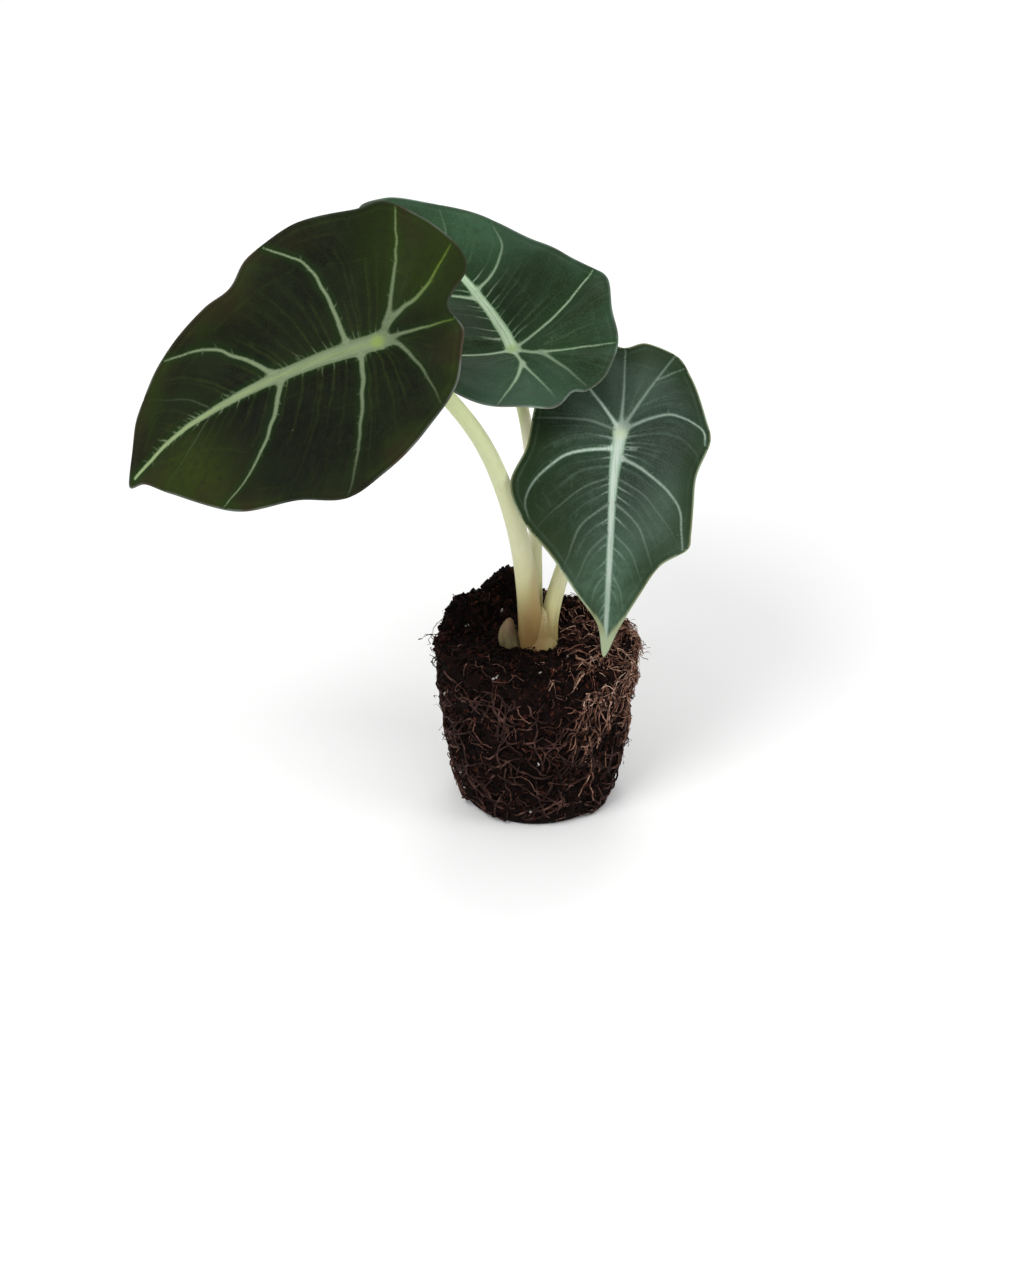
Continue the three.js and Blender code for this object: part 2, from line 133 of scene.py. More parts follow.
def mark(piece, name, values):
    """Stores one number per point on a piece, for its material or a node tree to read."""
    column = piece.data.attributes.new(name, "FLOAT", "POINT")
    column.data.foreach_set("value", np.asarray(values, np.float32))


def corners_of(piece):
    """Which point each corner of each face is."""
    corners = np.empty(len(piece.data.loops), int)
    piece.data.loops.foreach_get("vertex_index", corners)
    return corners


def stand_in(piece, node):
    """Lets a piece ride on the plant in place of a CAD node."""
    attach(piece, "root")
    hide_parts(node)
    print(piece.name, sum(len(face.vertices) - 2 for face in piece.data.polygons), "triangles")


# %% [markdown]
# ## Helpers for node trees
# One function adds any node to any tree, with its settings and its inputs, and either sets an input
# or links it when the value is a socket. Colours are written as sRGB hex values, as a paint chart
# gives them, and shaders want linear light, so one function turns them. A finish starts as a
# Principled shader, gets its colour as layers over a ground, and ends with that colour and its
# relief linked up.

# %% Node helpers
def paint(hex_colour):
    """An sRGB hex colour as linear RGBA."""
    parts = [int(hex_colour[i : i + 2], 16) / 255 for i in (1, 3, 5)]
    return (*(p / 12.92 if p <= 0.04045 else ((p + 0.055) / 1.055) ** 2.4 for p in parts), 1.0)


def add_node(tree, kind, inputs=None, out=0, stops=(), **settings):
    """Adds a node with its settings and colour stops, sets or links its inputs, gives an output."""
    node = tree.nodes.new(kind)
    for name, value in settings.items():
        setattr(node, name, value)
    for key, value in (inputs or {}).items():
        if isinstance(value, bpy.types.NodeSocket):
            tree.links.new(value, node.inputs[key])
        else:
            node.inputs[key].default_value = value
    if stops:
        ramp = node.color_ramp.elements
        ramp.remove(ramp[1])
    for k, (place, colour) in enumerate(stops):
        stop = ramp.new(place) if k else ramp[0]
        stop.position, stop.color = place, paint(colour)
    return node.outputs[out] if len(node.outputs) else node


def new_finish(name, **shader_inputs):
    """A material with a Principled shader, whose constants are set on its own sockets."""
    material = bpy.data.materials.new(name)
    material.use_nodes = True
    tree = material.node_tree
    tree.nodes.clear()
    shader = add_node(tree, "ShaderNodeBsdfPrincipled")
    add_node(tree, "ShaderNodeOutputMaterial", {"Surface": shader})
    for key, value in shader_inputs.items():
        shader.node.inputs[key.replace("_", " ").title().replace("Ior", "IOR")].default_value = value
    return material, tree


def layered(tree, ground, layers):
    """Lays colours over a ground colour one by one, each by its own share."""
    for share, colour in layers:
        colour = paint(colour) if isinstance(colour, str) else colour
        inputs = {0: share, 6: ground, 7: colour}
        ground = add_node(tree, "ShaderNodeMix", inputs, out=2, data_type="RGBA")
    return ground


def round_patch(tree, vector, location, scale):
    """The share of a soft ball: 1 in its middle and 0 from its rim outwards."""
    place = add_node(tree, "ShaderNodeMapping", {"Vector": vector, "Location": location, "Scale": scale})
    return add_node(tree, "ShaderNodeTexGradient", {"Vector": place}, "Fac", gradient_type="SPHERICAL")


def end_finish(tree, colour, *reliefs):
    """Links a finish's colour and its reliefs, each a height, a strength and a depth in metres."""
    ends = {"Base Color": colour}
    for height, strength, depth in reliefs:
        below = {"Normal": ends["Normal"]} if "Normal" in ends else {}
        inputs = {"Height": height, "Strength": strength, "Distance": depth, **below}
        ends["Normal"] = add_node(tree, "ShaderNodeBump", inputs)
    for key, value in ends.items():
        tree.links.new(value, tree.nodes["Principled BSDF"].inputs[key])


# %% [markdown]
# ## The leaves' plan
# A real blade grows flat in the bud and then unrolls, so each leaf is drawn flat first: x runs from
# the stalk to the tip and y to the leaf's left. The plan holds the margin, the midrib, the veins of
# the two back lobes and the side veins. The same plan, placing and bends drive the CAD solids, so
# the finer blades lie exactly where the solids are. Only the stalks' feet stand up to 1.4 mm closer
# here, because the real ones are grown together where the solids have to keep clear.

# %% Plans of the three leaves
LEAVES = [
    {
        "side": "left", "quilt": 0.5, "bends": 0.3, "barbs": 0.8, "spur": (1.0, 3.2, 1.0), "fillet": 0.55,
        "pale_tip": 0.0,
        # How pale each vein starts, and how much of that it loses towards the margin.
        "midrib_pale": (0.62, -0.5), "side_pale": [(0.52, -0.35), (0.6, 0.05), (0.54, 0.8), (0.56, 0.1)],
        "lobe_pale": [(0.38, -0.2), (0.46, 0.4), (0.4, 0.0), (0.42, 0.8)], "late_pale": (0.12, 0.8),
        "at": (-35.8, -14, 127.7), "heading": -171, "pitch": -16, "roll": -42,
        "bend_tip": 1 / 120, "bend_lobes": 1 / 120, "bend_across": -1 / 150,
        "fold": 0.2, "wave": 1.0, "wave_phase": 0.6,
        "outline": [
            (67.5, 8), (62.5, -4.5), (57, -10), (48, -16.5), (34.5, -21), (27, -22.3), (21, -27),
            (10, -30.5), (-4, -28.5), (-10.5, -29), (-19, -21.5), (-24, -11), (-19.5, -6),
            (-17.5, -3.5), (-19, 3), (-17, 8.5), (-13, 17.5), (-4.5, 26.5), (7, 34.5), (15.5, 38),
            (25.5, 33.5), (39, 29), (56, 15.5), (63, 9.5),
        ],
        "midrib": [(0, 0), (15, -0.5), (33, 0), (52.5, 2), (65.5, 6.5)],
        "lobe_veins": [
            [(0, 0), (-3, -4), (-10, -19), (-12, -26.5)],
            [(-2.6, -3.5), (-13.5, -8.5), (-21, -15.5)],
            [(0, 0), (-9, 0), (-16.5, 0)],
            [(0, 0), (-4.5, 3), (-8, 14.5), (-8.5, 21)],
        ],
        "side_veins": [
            [(7, -0.2), (7.5, -10), (10, -21.5), (16, -27)],
            [(24, -0.3), (29.5, -6.5), (37.5, -13), (46.5, -15)],
            [(4.5, 0), (6.5, 10), (11, 26), (14, 35)],
            [(23.5, -0.3), (27, 8), (37, 21), (42.5, 25)],
        ],
        "late_veins": [[(42, 0.8), (47, 6), (54, 11.5)], [(41, 0.7), (46.5, -4.5), (54, -8)]],
        "foot": (-1.4, -1.5), "foot_radius": 3.1, "top_radius": 1.85,
        "path": [
            (-1.6, -2.2, 50), (-3.2, -4, 66.3), (-6.4, -6, 81.8), (-12.3, -9.6, 99.3),
            (-19.9, -13.4, 112.6), (-26.7, -13.2, 119.4),
        ],
    },
    {
        "side": "back", "quilt": 0.8, "bends": 0.12, "barbs": 0.3, "spur": (1.5, 6.0, 0.5), "fillet": 0.4,
        "pale_tip": 0.3,
        "midrib_pale": (0.95, 0.1), "side_pale": [(0.42, -0.5), (0.47, 0.9), (0.6, 0.1), (0.6, 0.2)],
        "lobe_pale": [(0.42, 0.0), (0.3, 0.8), (0.55, 1.1), (0.55, 0.6)], "late_pale": (0.15, 0.6),
        "at": (-5.7, 13, 113.7), "heading": 125, "pitch": 12, "roll": -14,
        "bend_tip": -1 / 300, "bend_lobes": -1 / 300, "bend_across": -1 / 330,
        "fold": 0.25, "wave": 1.0, "wave_phase": 2.2,
        "outline": [
            (61, 3.5), (59.5, -2.5), (50.5, -10), (37, -19), (21, -22.5), (12.5, -24.5), (1.5, -28),
            (-10.5, -22), (-17.5, -18.5), (-25.5, -9), (-24.5, -4), (-22, -2), (-24, 6), (-20, 15),
            (-12, 21), (1.5, 26), (13, 23.5), (25, 22), (37, 18), (50.5, 11),
        ],
        "midrib": [(0, 0), (7, -1.8), (21.8, -3.6), (42, -2.5), (59, 2.5)],
        "lobe_veins": [
            [(0, 0), (-6, -4.5), (-14, -13.5), (-17, -17)],
            [(-5.5, -4.2), (-15, -5.2), (-21.5, -5)],
            [(0, 0), (-6, 1.1), (-17.3, 1.6), (-21, 2)],
            [(-5.5, 1), (-10.4, 6.1), (-16.5, 14)],
        ],
        "side_veins": [
            [(0, 0), (0.7, -13), (4, -25)],
            [(21, -3.5), (23, -9.4), (28.5, -16.4), (35, -18.3)],
            [(0, 0), (1.4, 5.8), (5, 15), (11.5, 21.5)],
            [(18.6, -3.3), (24, 1.5), (32, 11), (38, 15.5)],
        ],
        "late_veins": [[(37, -2.9), (42, 2.5), (50, 7.5)], [(36, -3), (40.5, -8), (47, -10.5)]],
        "foot": (-0.2, 3.6), "foot_radius": 2.0, "top_radius": 1.45,
        "path": [(-0.4, 3.9, 52), (-0.4, 5, 63), (-0.4, 7.8, 76.2), (-2.3, 11, 93.4), (-4.6, 13.6, 104)],
    },
    {
        "side": "right", "quilt": 0.6, "bends": 0.1, "barbs": 0.3, "spur": (1.5, 5.0, 0.5), "fillet": 0.45,
        "pale_tip": 1.0, "faint_sides": 2,
        "midrib_pale": (0.85, 0.55),
        "side_pale": [(0.3, -1.2), (0.46, 0.2), (0.18, 0.5), (0.82, 0.95), (0.2, 0.8), (0.2, 0.8)],
        "lobe_pale": [(0.36, 0.3), (0.3, 0.3), (0.22, 0.2), (0.7, 0.3)], "late_pale": (0.14, 0.8),
        # Two side veins bend down along the margin and die away there.
        "carried_on": {0: [(1.4, 20.5)], 3: [(17.5, -21.7), (22.5, -20.6)]},
        "at": (19.4, -2, 99.3), "heading": -92, "pitch": -42, "roll": -7,
        "bend_tip": 1 / 120, "bend_lobes": 1 / 150, "bend_across": 1 / 90,
        "fold": 0.0, "wave": 0.9, "wave_phase": 4.1,
        "outline": [
            (53.5, -1.5), (46, -3.5), (39, -9), (31, -15), (22.5, -22), (13.5, -25.5), (4.5, -22),
            (-4.5, -20.5), (-14, -18.5), (-21, -12.5), (-24, -5.5), (-22, 0.5), (-24, 6),
            (-21.7, 13.5), (-16, 17), (-5.5, 21), (-0.5, 22), (9.5, 18.5), (16.5, 18),
            (23.5, 17.5), (27, 17), (31.5, 10.5), (38.5, 6), (47, 1.5),
        ],
        "midrib": [(0, 0), (11, -1.3), (33, -1.5), (52, -1.4)],
        "lobe_veins": [
            [(0, 0), (-9.8, 0.7), (-20.5, 1)],
            [(0, 0), (-8.5, 4.9), (-20.5, 12.5)],
            [(-14, 8.2), (-17.5, 14.5)],
            [(0, 0), (-5.5, -3.5), (-18, -13)],
        ],
        "side_veins": [
            [(0, 0), (-4, 7), (-5.5, 13), (-2.6, 20)],
            [(6, -0.7), (9.5, 6.2), (16.8, 14), (24.5, 15.2)],
            [(0, 0), (-2.6, -7.7), (-3.2, -18.5)],
            [(4, -0.5), (6.1, -12.2), (13, -20)],
            [(17, -1.4), (22, 4.5), (30.5, 8)],
            [(17, -1.4), (23, -8.5), (31, -11.5)],
        ],
        "late_veins": [
            [(11, -1.2), (15, 5.4), (21.5, 11.2)], [(11, -1.2), (14, -8), (19.5, -14.8)],
            [(24, -1.5), (28.5, 3.2), (35, 6)], [(24, -1.5), (29, -6.2), (35.5, -9)],
            [(33, -1.5), (37, 1), (42, 2.2)], [(33, -1.5), (37.5, -4.5), (42.5, -5.4)],
        ],
        "foot": (3, -0.2), "foot_radius": 2.3, "top_radius": 1.6,
        "path": [(3.4, 0.4, 49), (6.2, 4.5, 58.5), (12.6, 8, 74.9), (17.6, 5, 88.5)],
    },
]
for leaf in LEAVES:
    count = len(leaf["lobe_veins"]) + len(leaf["side_veins"]) + len(leaf["late_veins"])
    print(leaf["side"], "leaf:", len(leaf["outline"]), "margin points,", count, "veins and a midrib")


# %% [markdown]
# ## From the flat plan to the grown blade
# The flat leaf is bent to an arc along its midrib and another across it, folded along the midrib,
# waved at its margin and puffed up between its veins. A cloth simulation could not do this, because
# a leaf is held by its veins and not by gravity. A rule gives the same blade on every run, and it
# is the rule of the CAD solid.

# %% The rule of a blade
# The same sizes in millimetres as in the CAD source.
FOLD_WIDTH, WAVE_COUNT, WAVE_REACH = 3, 7, 28
PUFF_HEIGHT, PUFF_WIDTH = 0.6, 5
KNUCKLE_RADIUS, KNUCKLE_LENGTH, RIB_COVER = 2.2, 3, 0.25


def turn_of(leaf):
    """The turn of a leaf's own frame, as a 3 x 3 matrix: roll first, then pitch, then heading."""
    (rs, rc), (ps, pc), (hs, hc) = (
        (math.sin(math.radians(leaf[key])), math.cos(math.radians(leaf[key])))
        for key in ("roll", "pitch", "heading")
    )
    about_x = [[1, 0, 0], [0, rc, -rs], [0, rs, rc]]
    about_y = [[pc, 0, -ps], [0, 1, 0], [ps, 0, pc]]
    about_z = [[hc, -hs, 0], [hs, hc, 0], [0, 0, 1]]
    return np.array(about_z) @ np.array(about_y) @ np.array(about_x)


def in_place(leaf, own):
    """Points of a leaf's own frame, moved to where the leaf is on the plant."""
    return np.asarray(own) @ turn_of(leaf).T + leaf["at"]


def arc(curvature, length):
    """How far along and how far down an arc of a given length ends, and how much it has turned."""
    turn = curvature * length
    return np.sin(turn) / curvature, (1 - np.cos(turn)) / curvature, turn


def blade_place(leaf, flat, vein_gap, lift):
    """Where flat points lie on the grown blade, `lift` above its plain upper face."""
    x, y = flat[:, 0], flat[:, 1]
    wave_share = np.minimum(1, (np.hypot(x, y) / WAVE_REACH) ** 3)
    wave = leaf["wave"] * wave_share * np.sin(WAVE_COUNT * np.arctan2(y, x) + leaf["wave_phase"])
    fold = leaf["fold"] * (np.hypot(y, FOLD_WIDTH) - FOLD_WIDTH)
    puff = PUFF_HEIGHT * (1 - bump(vein_gap, 0, PUFF_WIDTH))
    across, fall, _ = arc(leaf["bend_across"], y)
    height = fold + wave + puff - fall + lift
    along, sink, turn = arc(np.where(x > 0, leaf["bend_tip"], leaf["bend_lobes"]), x)
    own = [along + height * np.sin(turn), across, height * np.cos(turn) - sink]
    return in_place(leaf, np.stack(own, axis=1))


# %% [markdown]
# ## Veins
# The pale veins are what one knows this plant by. They are widest at the stalk, thin towards the
# margin, and have small thorn-like spurs where finer veins leave them. Fine veins run between the
# strong ones, and finer still across. An image texture could paint them, but a pattern that is
# part of the mesh stays sharp from any distance. So each vein is a line with its own half width
# and paleness, and the blade's mesh gets a row of points along every one.

# %% Strong veins
# Half widths in millimetres at even stops from a vein's start to its end.
MIDRIB_WIDTHS = {
    "left": (2.1, 1.5, 0.78, 0.42), "back": (1.45, 0.95, 0.6, 0.25), "right": (1.6, 0.82, 0.68, 0.42),
}
SIDE_WIDTHS = {
    "left": (0.66, 0.44, 0.3, 0.14), "back": (0.46, 0.32, 0.24, 0.1), "right": (0.46, 0.33, 0.24, 0.12),
}
LATE_WIDTHS = (0.24, 0.18, 0.12, 0.06)
# A vein that forks off this far from the stalk is thinner, and so are the faint side veins.
FORK_START, FORK_SHARE, FAINT_SHARE = 8, 0.6, 0.7
# Radii of the CAD solid's ribs at the start and at the end of a vein.
CAD_RIBS = {"midrib": (1.25, 0.45), "lobe": (0.95, 0.4), "side": (0.85, 0.4), "late": (0.4, 0.15)}
# The gap between a vein's points, the size of its small bends, and how pale a bold vein is at least.
LINE_GAP, BEND_SIZE, BOLD_PALE = 0.16, 3.2, 0.3


def noise_over(flat, size, layer):
    """Smooth noise over flat points, with swells of about `size`; each layer is another noise."""
    return np.array([noise.noise((x / size, y / size, layer)) for x, y in flat.tolist()])


def vein(points, widths, pale=1.0, fade=0.35, rib=(0, 0), ring=None, bends=0.0, carried_on=()):
    """A vein: its line, half widths, paleness, rib radius, and the part that the CAD solid has."""
    line = cad_line = smooth_line(points, LINE_GAP)
    if len(carried_on):
        line = smooth_line([*points, *carried_on], LINE_GAP)
    elif ring is not None:
        line = to_margin(line, ring)
    # Small bends come from one field over the whole leaf, so veins that meet still meet.
    if bends:
        line = line + bends * np.stack([noise_over(line, BEND_SIZE, layer) for layer in (1.5, 8.5)], axis=1)
    part = np.linspace(0, 1, len(line))
    half = np.interp(part, np.linspace(0, 1, len(widths)), widths)
    rib_radius = np.interp(part, (0, 1), rib)
    pales = pale * (1 - fade * part**1.5)
    return {"line": line, "half": half, "pale": pales, "rib": rib_radius, "cad_line": cad_line}


def inset(ring, depth):
    """The ring moved inwards, without the points that a narrow bend brings too near to it."""
    way = np.roll(ring, -1, axis=0) - np.roll(ring, 1, axis=0)
    inward = np.stack([way[:, 1], -way[:, 0]], axis=1) / np.linalg.norm(way, axis=1)[:, None]
    if (inward * -ring).sum() < 0:
        inward = -inward
    moved = ring + inward * depth
    return moved[inside(moved, ring) & (nearest(moved, ring)[0] > depth * 0.8)]


def to_margin(line, ring):
    """Carries a vein on, bending towards the tip, until it nearly meets the margin."""
    step = (line[-1] - line[-8]) / 7
    count = np.arange(1, 40)[:, None]
    more = line[-1] + step * count + np.array([0.0015 if step[0] > -0.05 else 0, 0]) * count**2
    gap, _ = nearest(more, ring)
    met = np.flatnonzero((gap < 0.6) | ~inside(more, ring))
    return np.vstack([line, more[: met[0] if len(met) else 25]])


def strong_veins(leaf, ring):
    """The midrib and the veins that leave it; the late ones are no ribs of the CAD solid."""
    side, bends, widths = leaf["side_veins"], leaf["bends"], np.array(SIDE_WIDTHS[leaf["side"]])
    first_faint = len(side) - leaf.get("faint_sides", 0)
    made = [vein(leaf["midrib"], MIDRIB_WIDTHS[leaf["side"]], *leaf["midrib_pale"], CAD_RIBS["midrib"])]
    for points, pale in zip(leaf["lobe_veins"], leaf["lobe_pale"]):
        share = FORK_SHARE if math.hypot(*points[0]) > FORK_START else 1
        made.append(vein(points, widths * share, *pale, CAD_RIBS["lobe"], ring, bends))
    for k, (points, pale) in enumerate(zip(side, leaf["side_pale"])):
        share = FAINT_SHARE if k >= first_faint else 1
        carried_on = leaf.get("carried_on", {}).get(k, ())
        made.append(vein(points, widths * share, *pale, CAD_RIBS["side"], ring, bends, carried_on))
    for points in leaf["late_veins"]:
        made.append(vein(points, LATE_WIDTHS, *leaf["late_pale"], CAD_RIBS["late"], ring, bends))
    return made


def spurs(veins, random, barbs, weight):
    """Thorn-like spurs that taper away: many on the midrib, some, `barbs` times as pale, elsewhere."""
    made = []
    for rank, trunk in enumerate(veins):
        line, half = trunk["line"], trunk["half"]
        if trunk["pale"].max() < BOLD_PALE:
            continue
        place = 0.8 if rank == 0 else 2.5
        while place / LINE_GAP < len(line) * (0.94 if rank == 0 else 0.8):
            at = int(place / LINE_GAP)
            way = line[min(at + 3, len(line) - 1)] - line[at - 3]
            way = way / np.linalg.norm(way)
            flank = random.choice((-1, 1)) * np.array([-way[1], way[0]])
            lean = random.uniform(0.0, 0.5)
            out = flank * (1 - lean * 0.3) + way * lean
            length = random.uniform(0.6, 1.8) if rank == 0 else random.uniform(0.4, 1.1)
            start = line[at] + flank * half[at] * 0.6
            root = weight * (random.uniform(0.05, 0.11) + (0.03 if rank == 0 else 0.2 * half[at]))
            path = [start, start + out * length * 0.6, start + out * length * 1.2 + way * length * 0.2]
            share = 0.15 + 0.65 * barbs if rank == 0 else barbs
            pale = trunk["pale"][at] * random.uniform(0.5, 1) * share
            made.append(vein(path, (root, root * 0.45, 0.03), pale, fade=0.8))
            place += random.uniform(0.6, 1.4) / weight if rank == 0 else random.uniform(2.0, 7.0)
    return made


# %% [markdown]
# Between two strong neighbours a fine vein keeps their direction, as if it were their average, so
# it is made by mixing the two lines. Finer cross veins bridge the gap. A last one follows the
# margin all the way round and gathers the ends.

# %% Fine veins
# A way is a vein at even stops; two ways' distance is taken at the far stop.
STOPS, FAR_STOP = 49, 34


def ways_round(veins):
    """The veins that leave the midrib, each at the same even stops, in order round the leaf."""
    midrib = veins[0]["line"]
    ways = []
    for v in veins[1:]:
        numbers = np.arange(len(v["line"]))
        places = np.linspace(0, numbers[-1], STOPS)
        ways.append(np.stack([np.interp(places, numbers, column) for column in v["line"].T], axis=1))
    ghost = midrib[int(len(midrib) * 0.9)]
    stretch = np.linspace(0, 1, STOPS)[:, None]
    ways += [ghost + stretch * np.array([4.5, flank * 1.6]) for flank in (-1, 1)]
    return sorted(ways, key=lambda way: math.atan2(way[-1][1], way[-1][0]))


def fine_veins(leaf, veins, random):
    """Faint veins between neighbouring strong ones, and the bright spurs they leave the midrib with."""
    midrib, ways, made, roots = veins[0]["line"], ways_round(veins), [], []
    shortest, longest, weight = leaf["spur"]
    for first, second in zip(ways, ways[1:]):
        gap = np.linalg.norm(first[FAR_STOP] - second[FAR_STOP])
        same_root = np.linalg.norm(first[0] - second[0]) < 4
        count = max(1, round(gap / 4.2))
        for k in range(1, count + 1):
            share = (k + random.uniform(-0.42, 0.42)) / (count + 1)
            grown = (1 - share) * (first - first[0]) + share * (second - second[0])
            root = (1 - share) * first[0] + share * second[0]
            if root[0] > 1:
                root = np.array([root[0], np.interp(root[0], midrib[:, 0], midrib[:, 1])])
            start, end = (int(random.uniform(8, 20)) if same_root else 0), int(random.uniform(22, 47))
            path = (root + grown)[start:end:5]
            path = path + random.normal(0, 0.09, path.shape)
            fade = 0.45 if random.random() < 0.35 else 0.9
            pale = random.uniform(0.4, 0.9)
            made.append(vein(path, (0.12, 0.09, 0.06), pale, fade, bends=leaf["bends"]))
            if not same_root and root[0] > 1:
                line, half = made[-1]["line"], np.interp(root[0], midrib[:, 0], veins[0]["half"])
                reach = int((half + random.uniform(shortest, longest)) / LINE_GAP)
                width = random.uniform(0.08, 0.17) * weight
                widths = (width * 1.6, width, width * 0.6, 0.02)
                pale = np.interp(root[0], midrib[:, 0], veins[0]["pale"]) * (0.3 + 0.6 * weight)
                roots.append(vein(line[: max(8, reach) : 4], widths, pale, 0.85))
        for place in np.arange(16 if same_root else 6, 44, 1.8):
            if gap < 3 or random.random() > 0.12:
                continue
            from_share, to_share = sorted(random.uniform(0, 1, 2))
            near, far = int(place), min(STOPS - 1, int(place) + 3)
            path = []
            for share in (from_share, (from_share + to_share) / 2, to_share):
                stop = int(near + (far - near) * share)
                path.append((1 - share) * first[stop] + share * second[stop] + random.normal(0, 0.2, 2))
            made.append(vein(path, (0.07, 0.05, 0.07), pale=random.uniform(0.1, 0.35), fade=0))
    collecting = inset(leaf["ring"], 1.7)
    made += [vein(collecting[k : k + 33 : 4], (0.09, 0.09), pale=random.uniform(0.1, 0.45), fade=0)
             for k in range(0, len(collecting) - 33, 32)]
    return made, roots


# %% [markdown]
# Between the fine veins the surface is faintly combed, in the direction of the nearest veins. To let
# a texture follow that comb, each point gets a lane, which counts millimetres round the leaf from
# vein to vein, and a reach, which counts them outwards along the veins.

# %% The comb of the surface
def tree_of(places):
    """A search tree over flat places."""
    tree = kdtree.KDTree(len(places))
    for k, place in enumerate(places):
        tree.insert((*place, 0), k)
    tree.balance()
    return tree


def comb(flat, ways):
    """Lane and reach of each flat point, from the nearest places on lines between the veins."""
    places, values, lane = [], [], 0.0
    for first, second in zip(ways, ways[1:]):
        width = np.linalg.norm(first[FAR_STOP] - second[FAR_STOP])
        for share in np.linspace(0, 1, 13):
            places.extend((1 - share) * first + share * second)
            values.extend((lane + share * width, stop * 0.5) for stop in range(STOPS))
        lane += width
    values = np.array(values)
    tree = tree_of(places)
    made = []
    for point in flat.tolist():
        found = tree.find_n((*point, 0), 5)
        own_lane = values[found[0][1]][0]
        near = [
            (values[k], 1 / (gap * gap + 0.05))
            for _, k, gap in found if abs(values[k][0] - own_lane) < 3
        ]
        total = sum(weight for _, weight in near)
        made.append(sum(value * weight for value, weight in near) / total)
    return np.array(made)


# %% [markdown]
# ## One mesh per blade
# The flat leaf is covered with points: rows along the margin, rows along and beside each vein, and
# an even lattice in between that is finer near the veins. Blender's constrained Delaunay
# triangulation joins them, so edges run along the veins. A grid would need ten times as many points
# for veins as crisp. The same triangles then make the upper face and, turned over, the lower one.

# %% Points of the flat leaf
def sift(kept, candidates, gap):
    """Adds those candidates that keep `gap` from every point kept so far."""
    cells = {}
    for point in kept:
        cells.setdefault((int(point[0] // gap), int(point[1] // gap)), []).append(point)
    for x, y in np.asarray(candidates).tolist():
        i, j = int(x // gap), int(y // gap)
        near = (p for a in (i - 1, i, i + 1) for b in (j - 1, j, j + 1) for p in cells.get((a, b), ()))
        if all((x - u) ** 2 + (y - v) ** 2 >= gap * gap for u, v in near):
            cells.setdefault((i, j), []).append((x, y))
            kept.append((x, y))
    return kept


def nearest(points, line, credit=0.0):
    """Each point's smallest distance to the line's points less `credit`, and which point it is."""
    best, which = np.empty(len(points)), np.empty(len(points), int)
    for start in range(0, len(points), 2000):
        some = points[start : start + 2000]
        gaps = np.sqrt(((some[:, None, :] - line[None]) ** 2).sum(axis=2)) - credit
        which[start : start + 2000] = gaps.argmin(axis=1)
        best[start : start + 2000] = gaps.min(axis=1)
    return best, which


def inside(points, ring):
    """True for points inside the closed ring, by counting how often a ray crosses it."""
    x, y = points[:, 0], points[:, 1]
    odd = np.zeros(len(points), bool)
    for (x0, y0), (x1, y1) in zip(ring, np.roll(ring, -1, axis=0)):
        if y0 != y1:
            crosses = ((y0 > y) != (y1 > y)) & (x < (x1 - x0) * (y - y0) / (y1 - y0) + x0)
            odd ^= crosses
    return odd


def lattice(ring, gap):
    """Points of an even triangular lattice over the ring's box."""
    (x0, y0), (x1, y1) = ring.min(axis=0), ring.max(axis=0)
    rows = []
    for k, y in enumerate(np.arange(y0, y1, gap * 0.866)):
        xs = np.arange(x0 + (k % 2) * gap / 2, x1, gap)
        rows.append(np.stack([xs, np.full(len(xs), y)], axis=1))
    return np.vstack(rows)


def flank_rows(v, every, offsets):
    """Rows of points beside a vein, at given distances from its middle line."""
    line = v["line"]
    way = np.gradient(line, axis=0)
    way /= np.linalg.norm(way, axis=1)[:, None]
    flank = np.stack([-way[:, 1], way[:, 0]], axis=1)
    return np.vstack([(line + flank * offset[:, None])[::every] for offset in offsets])


def flat_mesh(ring, strong, spur_list, fine):
    """The flat leaf's points and triangles, and which of the points are the margin's."""
    def keep(points, margin):
        points = points[inside(points, ring)]
        return points[nearest(points, ring)[0] > margin]

    kept = [tuple(p) for p in ring.tolist()]
    for depth in (0.1, 0.28, 0.6, 1.1):
        kept = sift(kept, inset(ring, depth), min(0.22, depth * 0.9))
    for v in strong:
        zero = np.zeros(len(v["line"]))
        rows = [zero, v["half"], -v["half"], v["half"] * 0.55, -v["half"] * 0.55,
                v["half"] + 0.25, -v["half"] - 0.25]
        kept = sift(kept, keep(flank_rows(v, 3, rows), 0.3), 0.22)
    for v in spur_list:
        kept = sift(kept, keep(flank_rows(v, 2, [np.zeros(len(v["line"]))]), 0.3), 0.15)
    for v in fine:
        kept = sift(kept, keep(flank_rows(v, 3, [np.zeros(len(v["line"]))]), 0.3), 0.24)
    middle = np.vstack([v["line"] for v in strong])
    credit = np.concatenate([v["half"] for v in strong])
    close = keep(lattice(ring, 0.28), 0.3)
    kept = sift(kept, close[nearest(close, middle[::3], credit[::3])[0] < 1.2], 0.22)
    kept = sift(kept, keep(lattice(ring, 0.46), 0.35), 0.33)
    points = [Vector(p) for p in kept]
    made = delaunay_2d_cdt(points, [], [list(range(len(ring)))], 1, 1e-6)
    flat = np.array([tuple(p) for p in made[0]])
    margin = np.array([any(k < len(ring) for k in origin) for origin in made[3]])
    faces = np.array([f for f in made[2] if len(f) == 3])
    a, b, c = flat[faces[:, 0]], flat[faces[:, 1]], flat[faces[:, 2]]
    area = (b[:, 0] - a[:, 0]) * (c[:, 1] - a[:, 1]) - (b[:, 1] - a[:, 1]) * (c[:, 0] - a[:, 0])
    faces[area < 0] = faces[area < 0][:, ::-1]
    return flat, faces[np.abs(area) > 1e-9], margin


# %% [markdown]
# The rims are rounded by lowering the upper face and raising the lower one over the last fraction
# of a millimetre, until they meet on one row of points. The lower face carries the ribs, as half
# rounds of the CAD ribs' own radii. The upper face has shallow furrows along the veins.

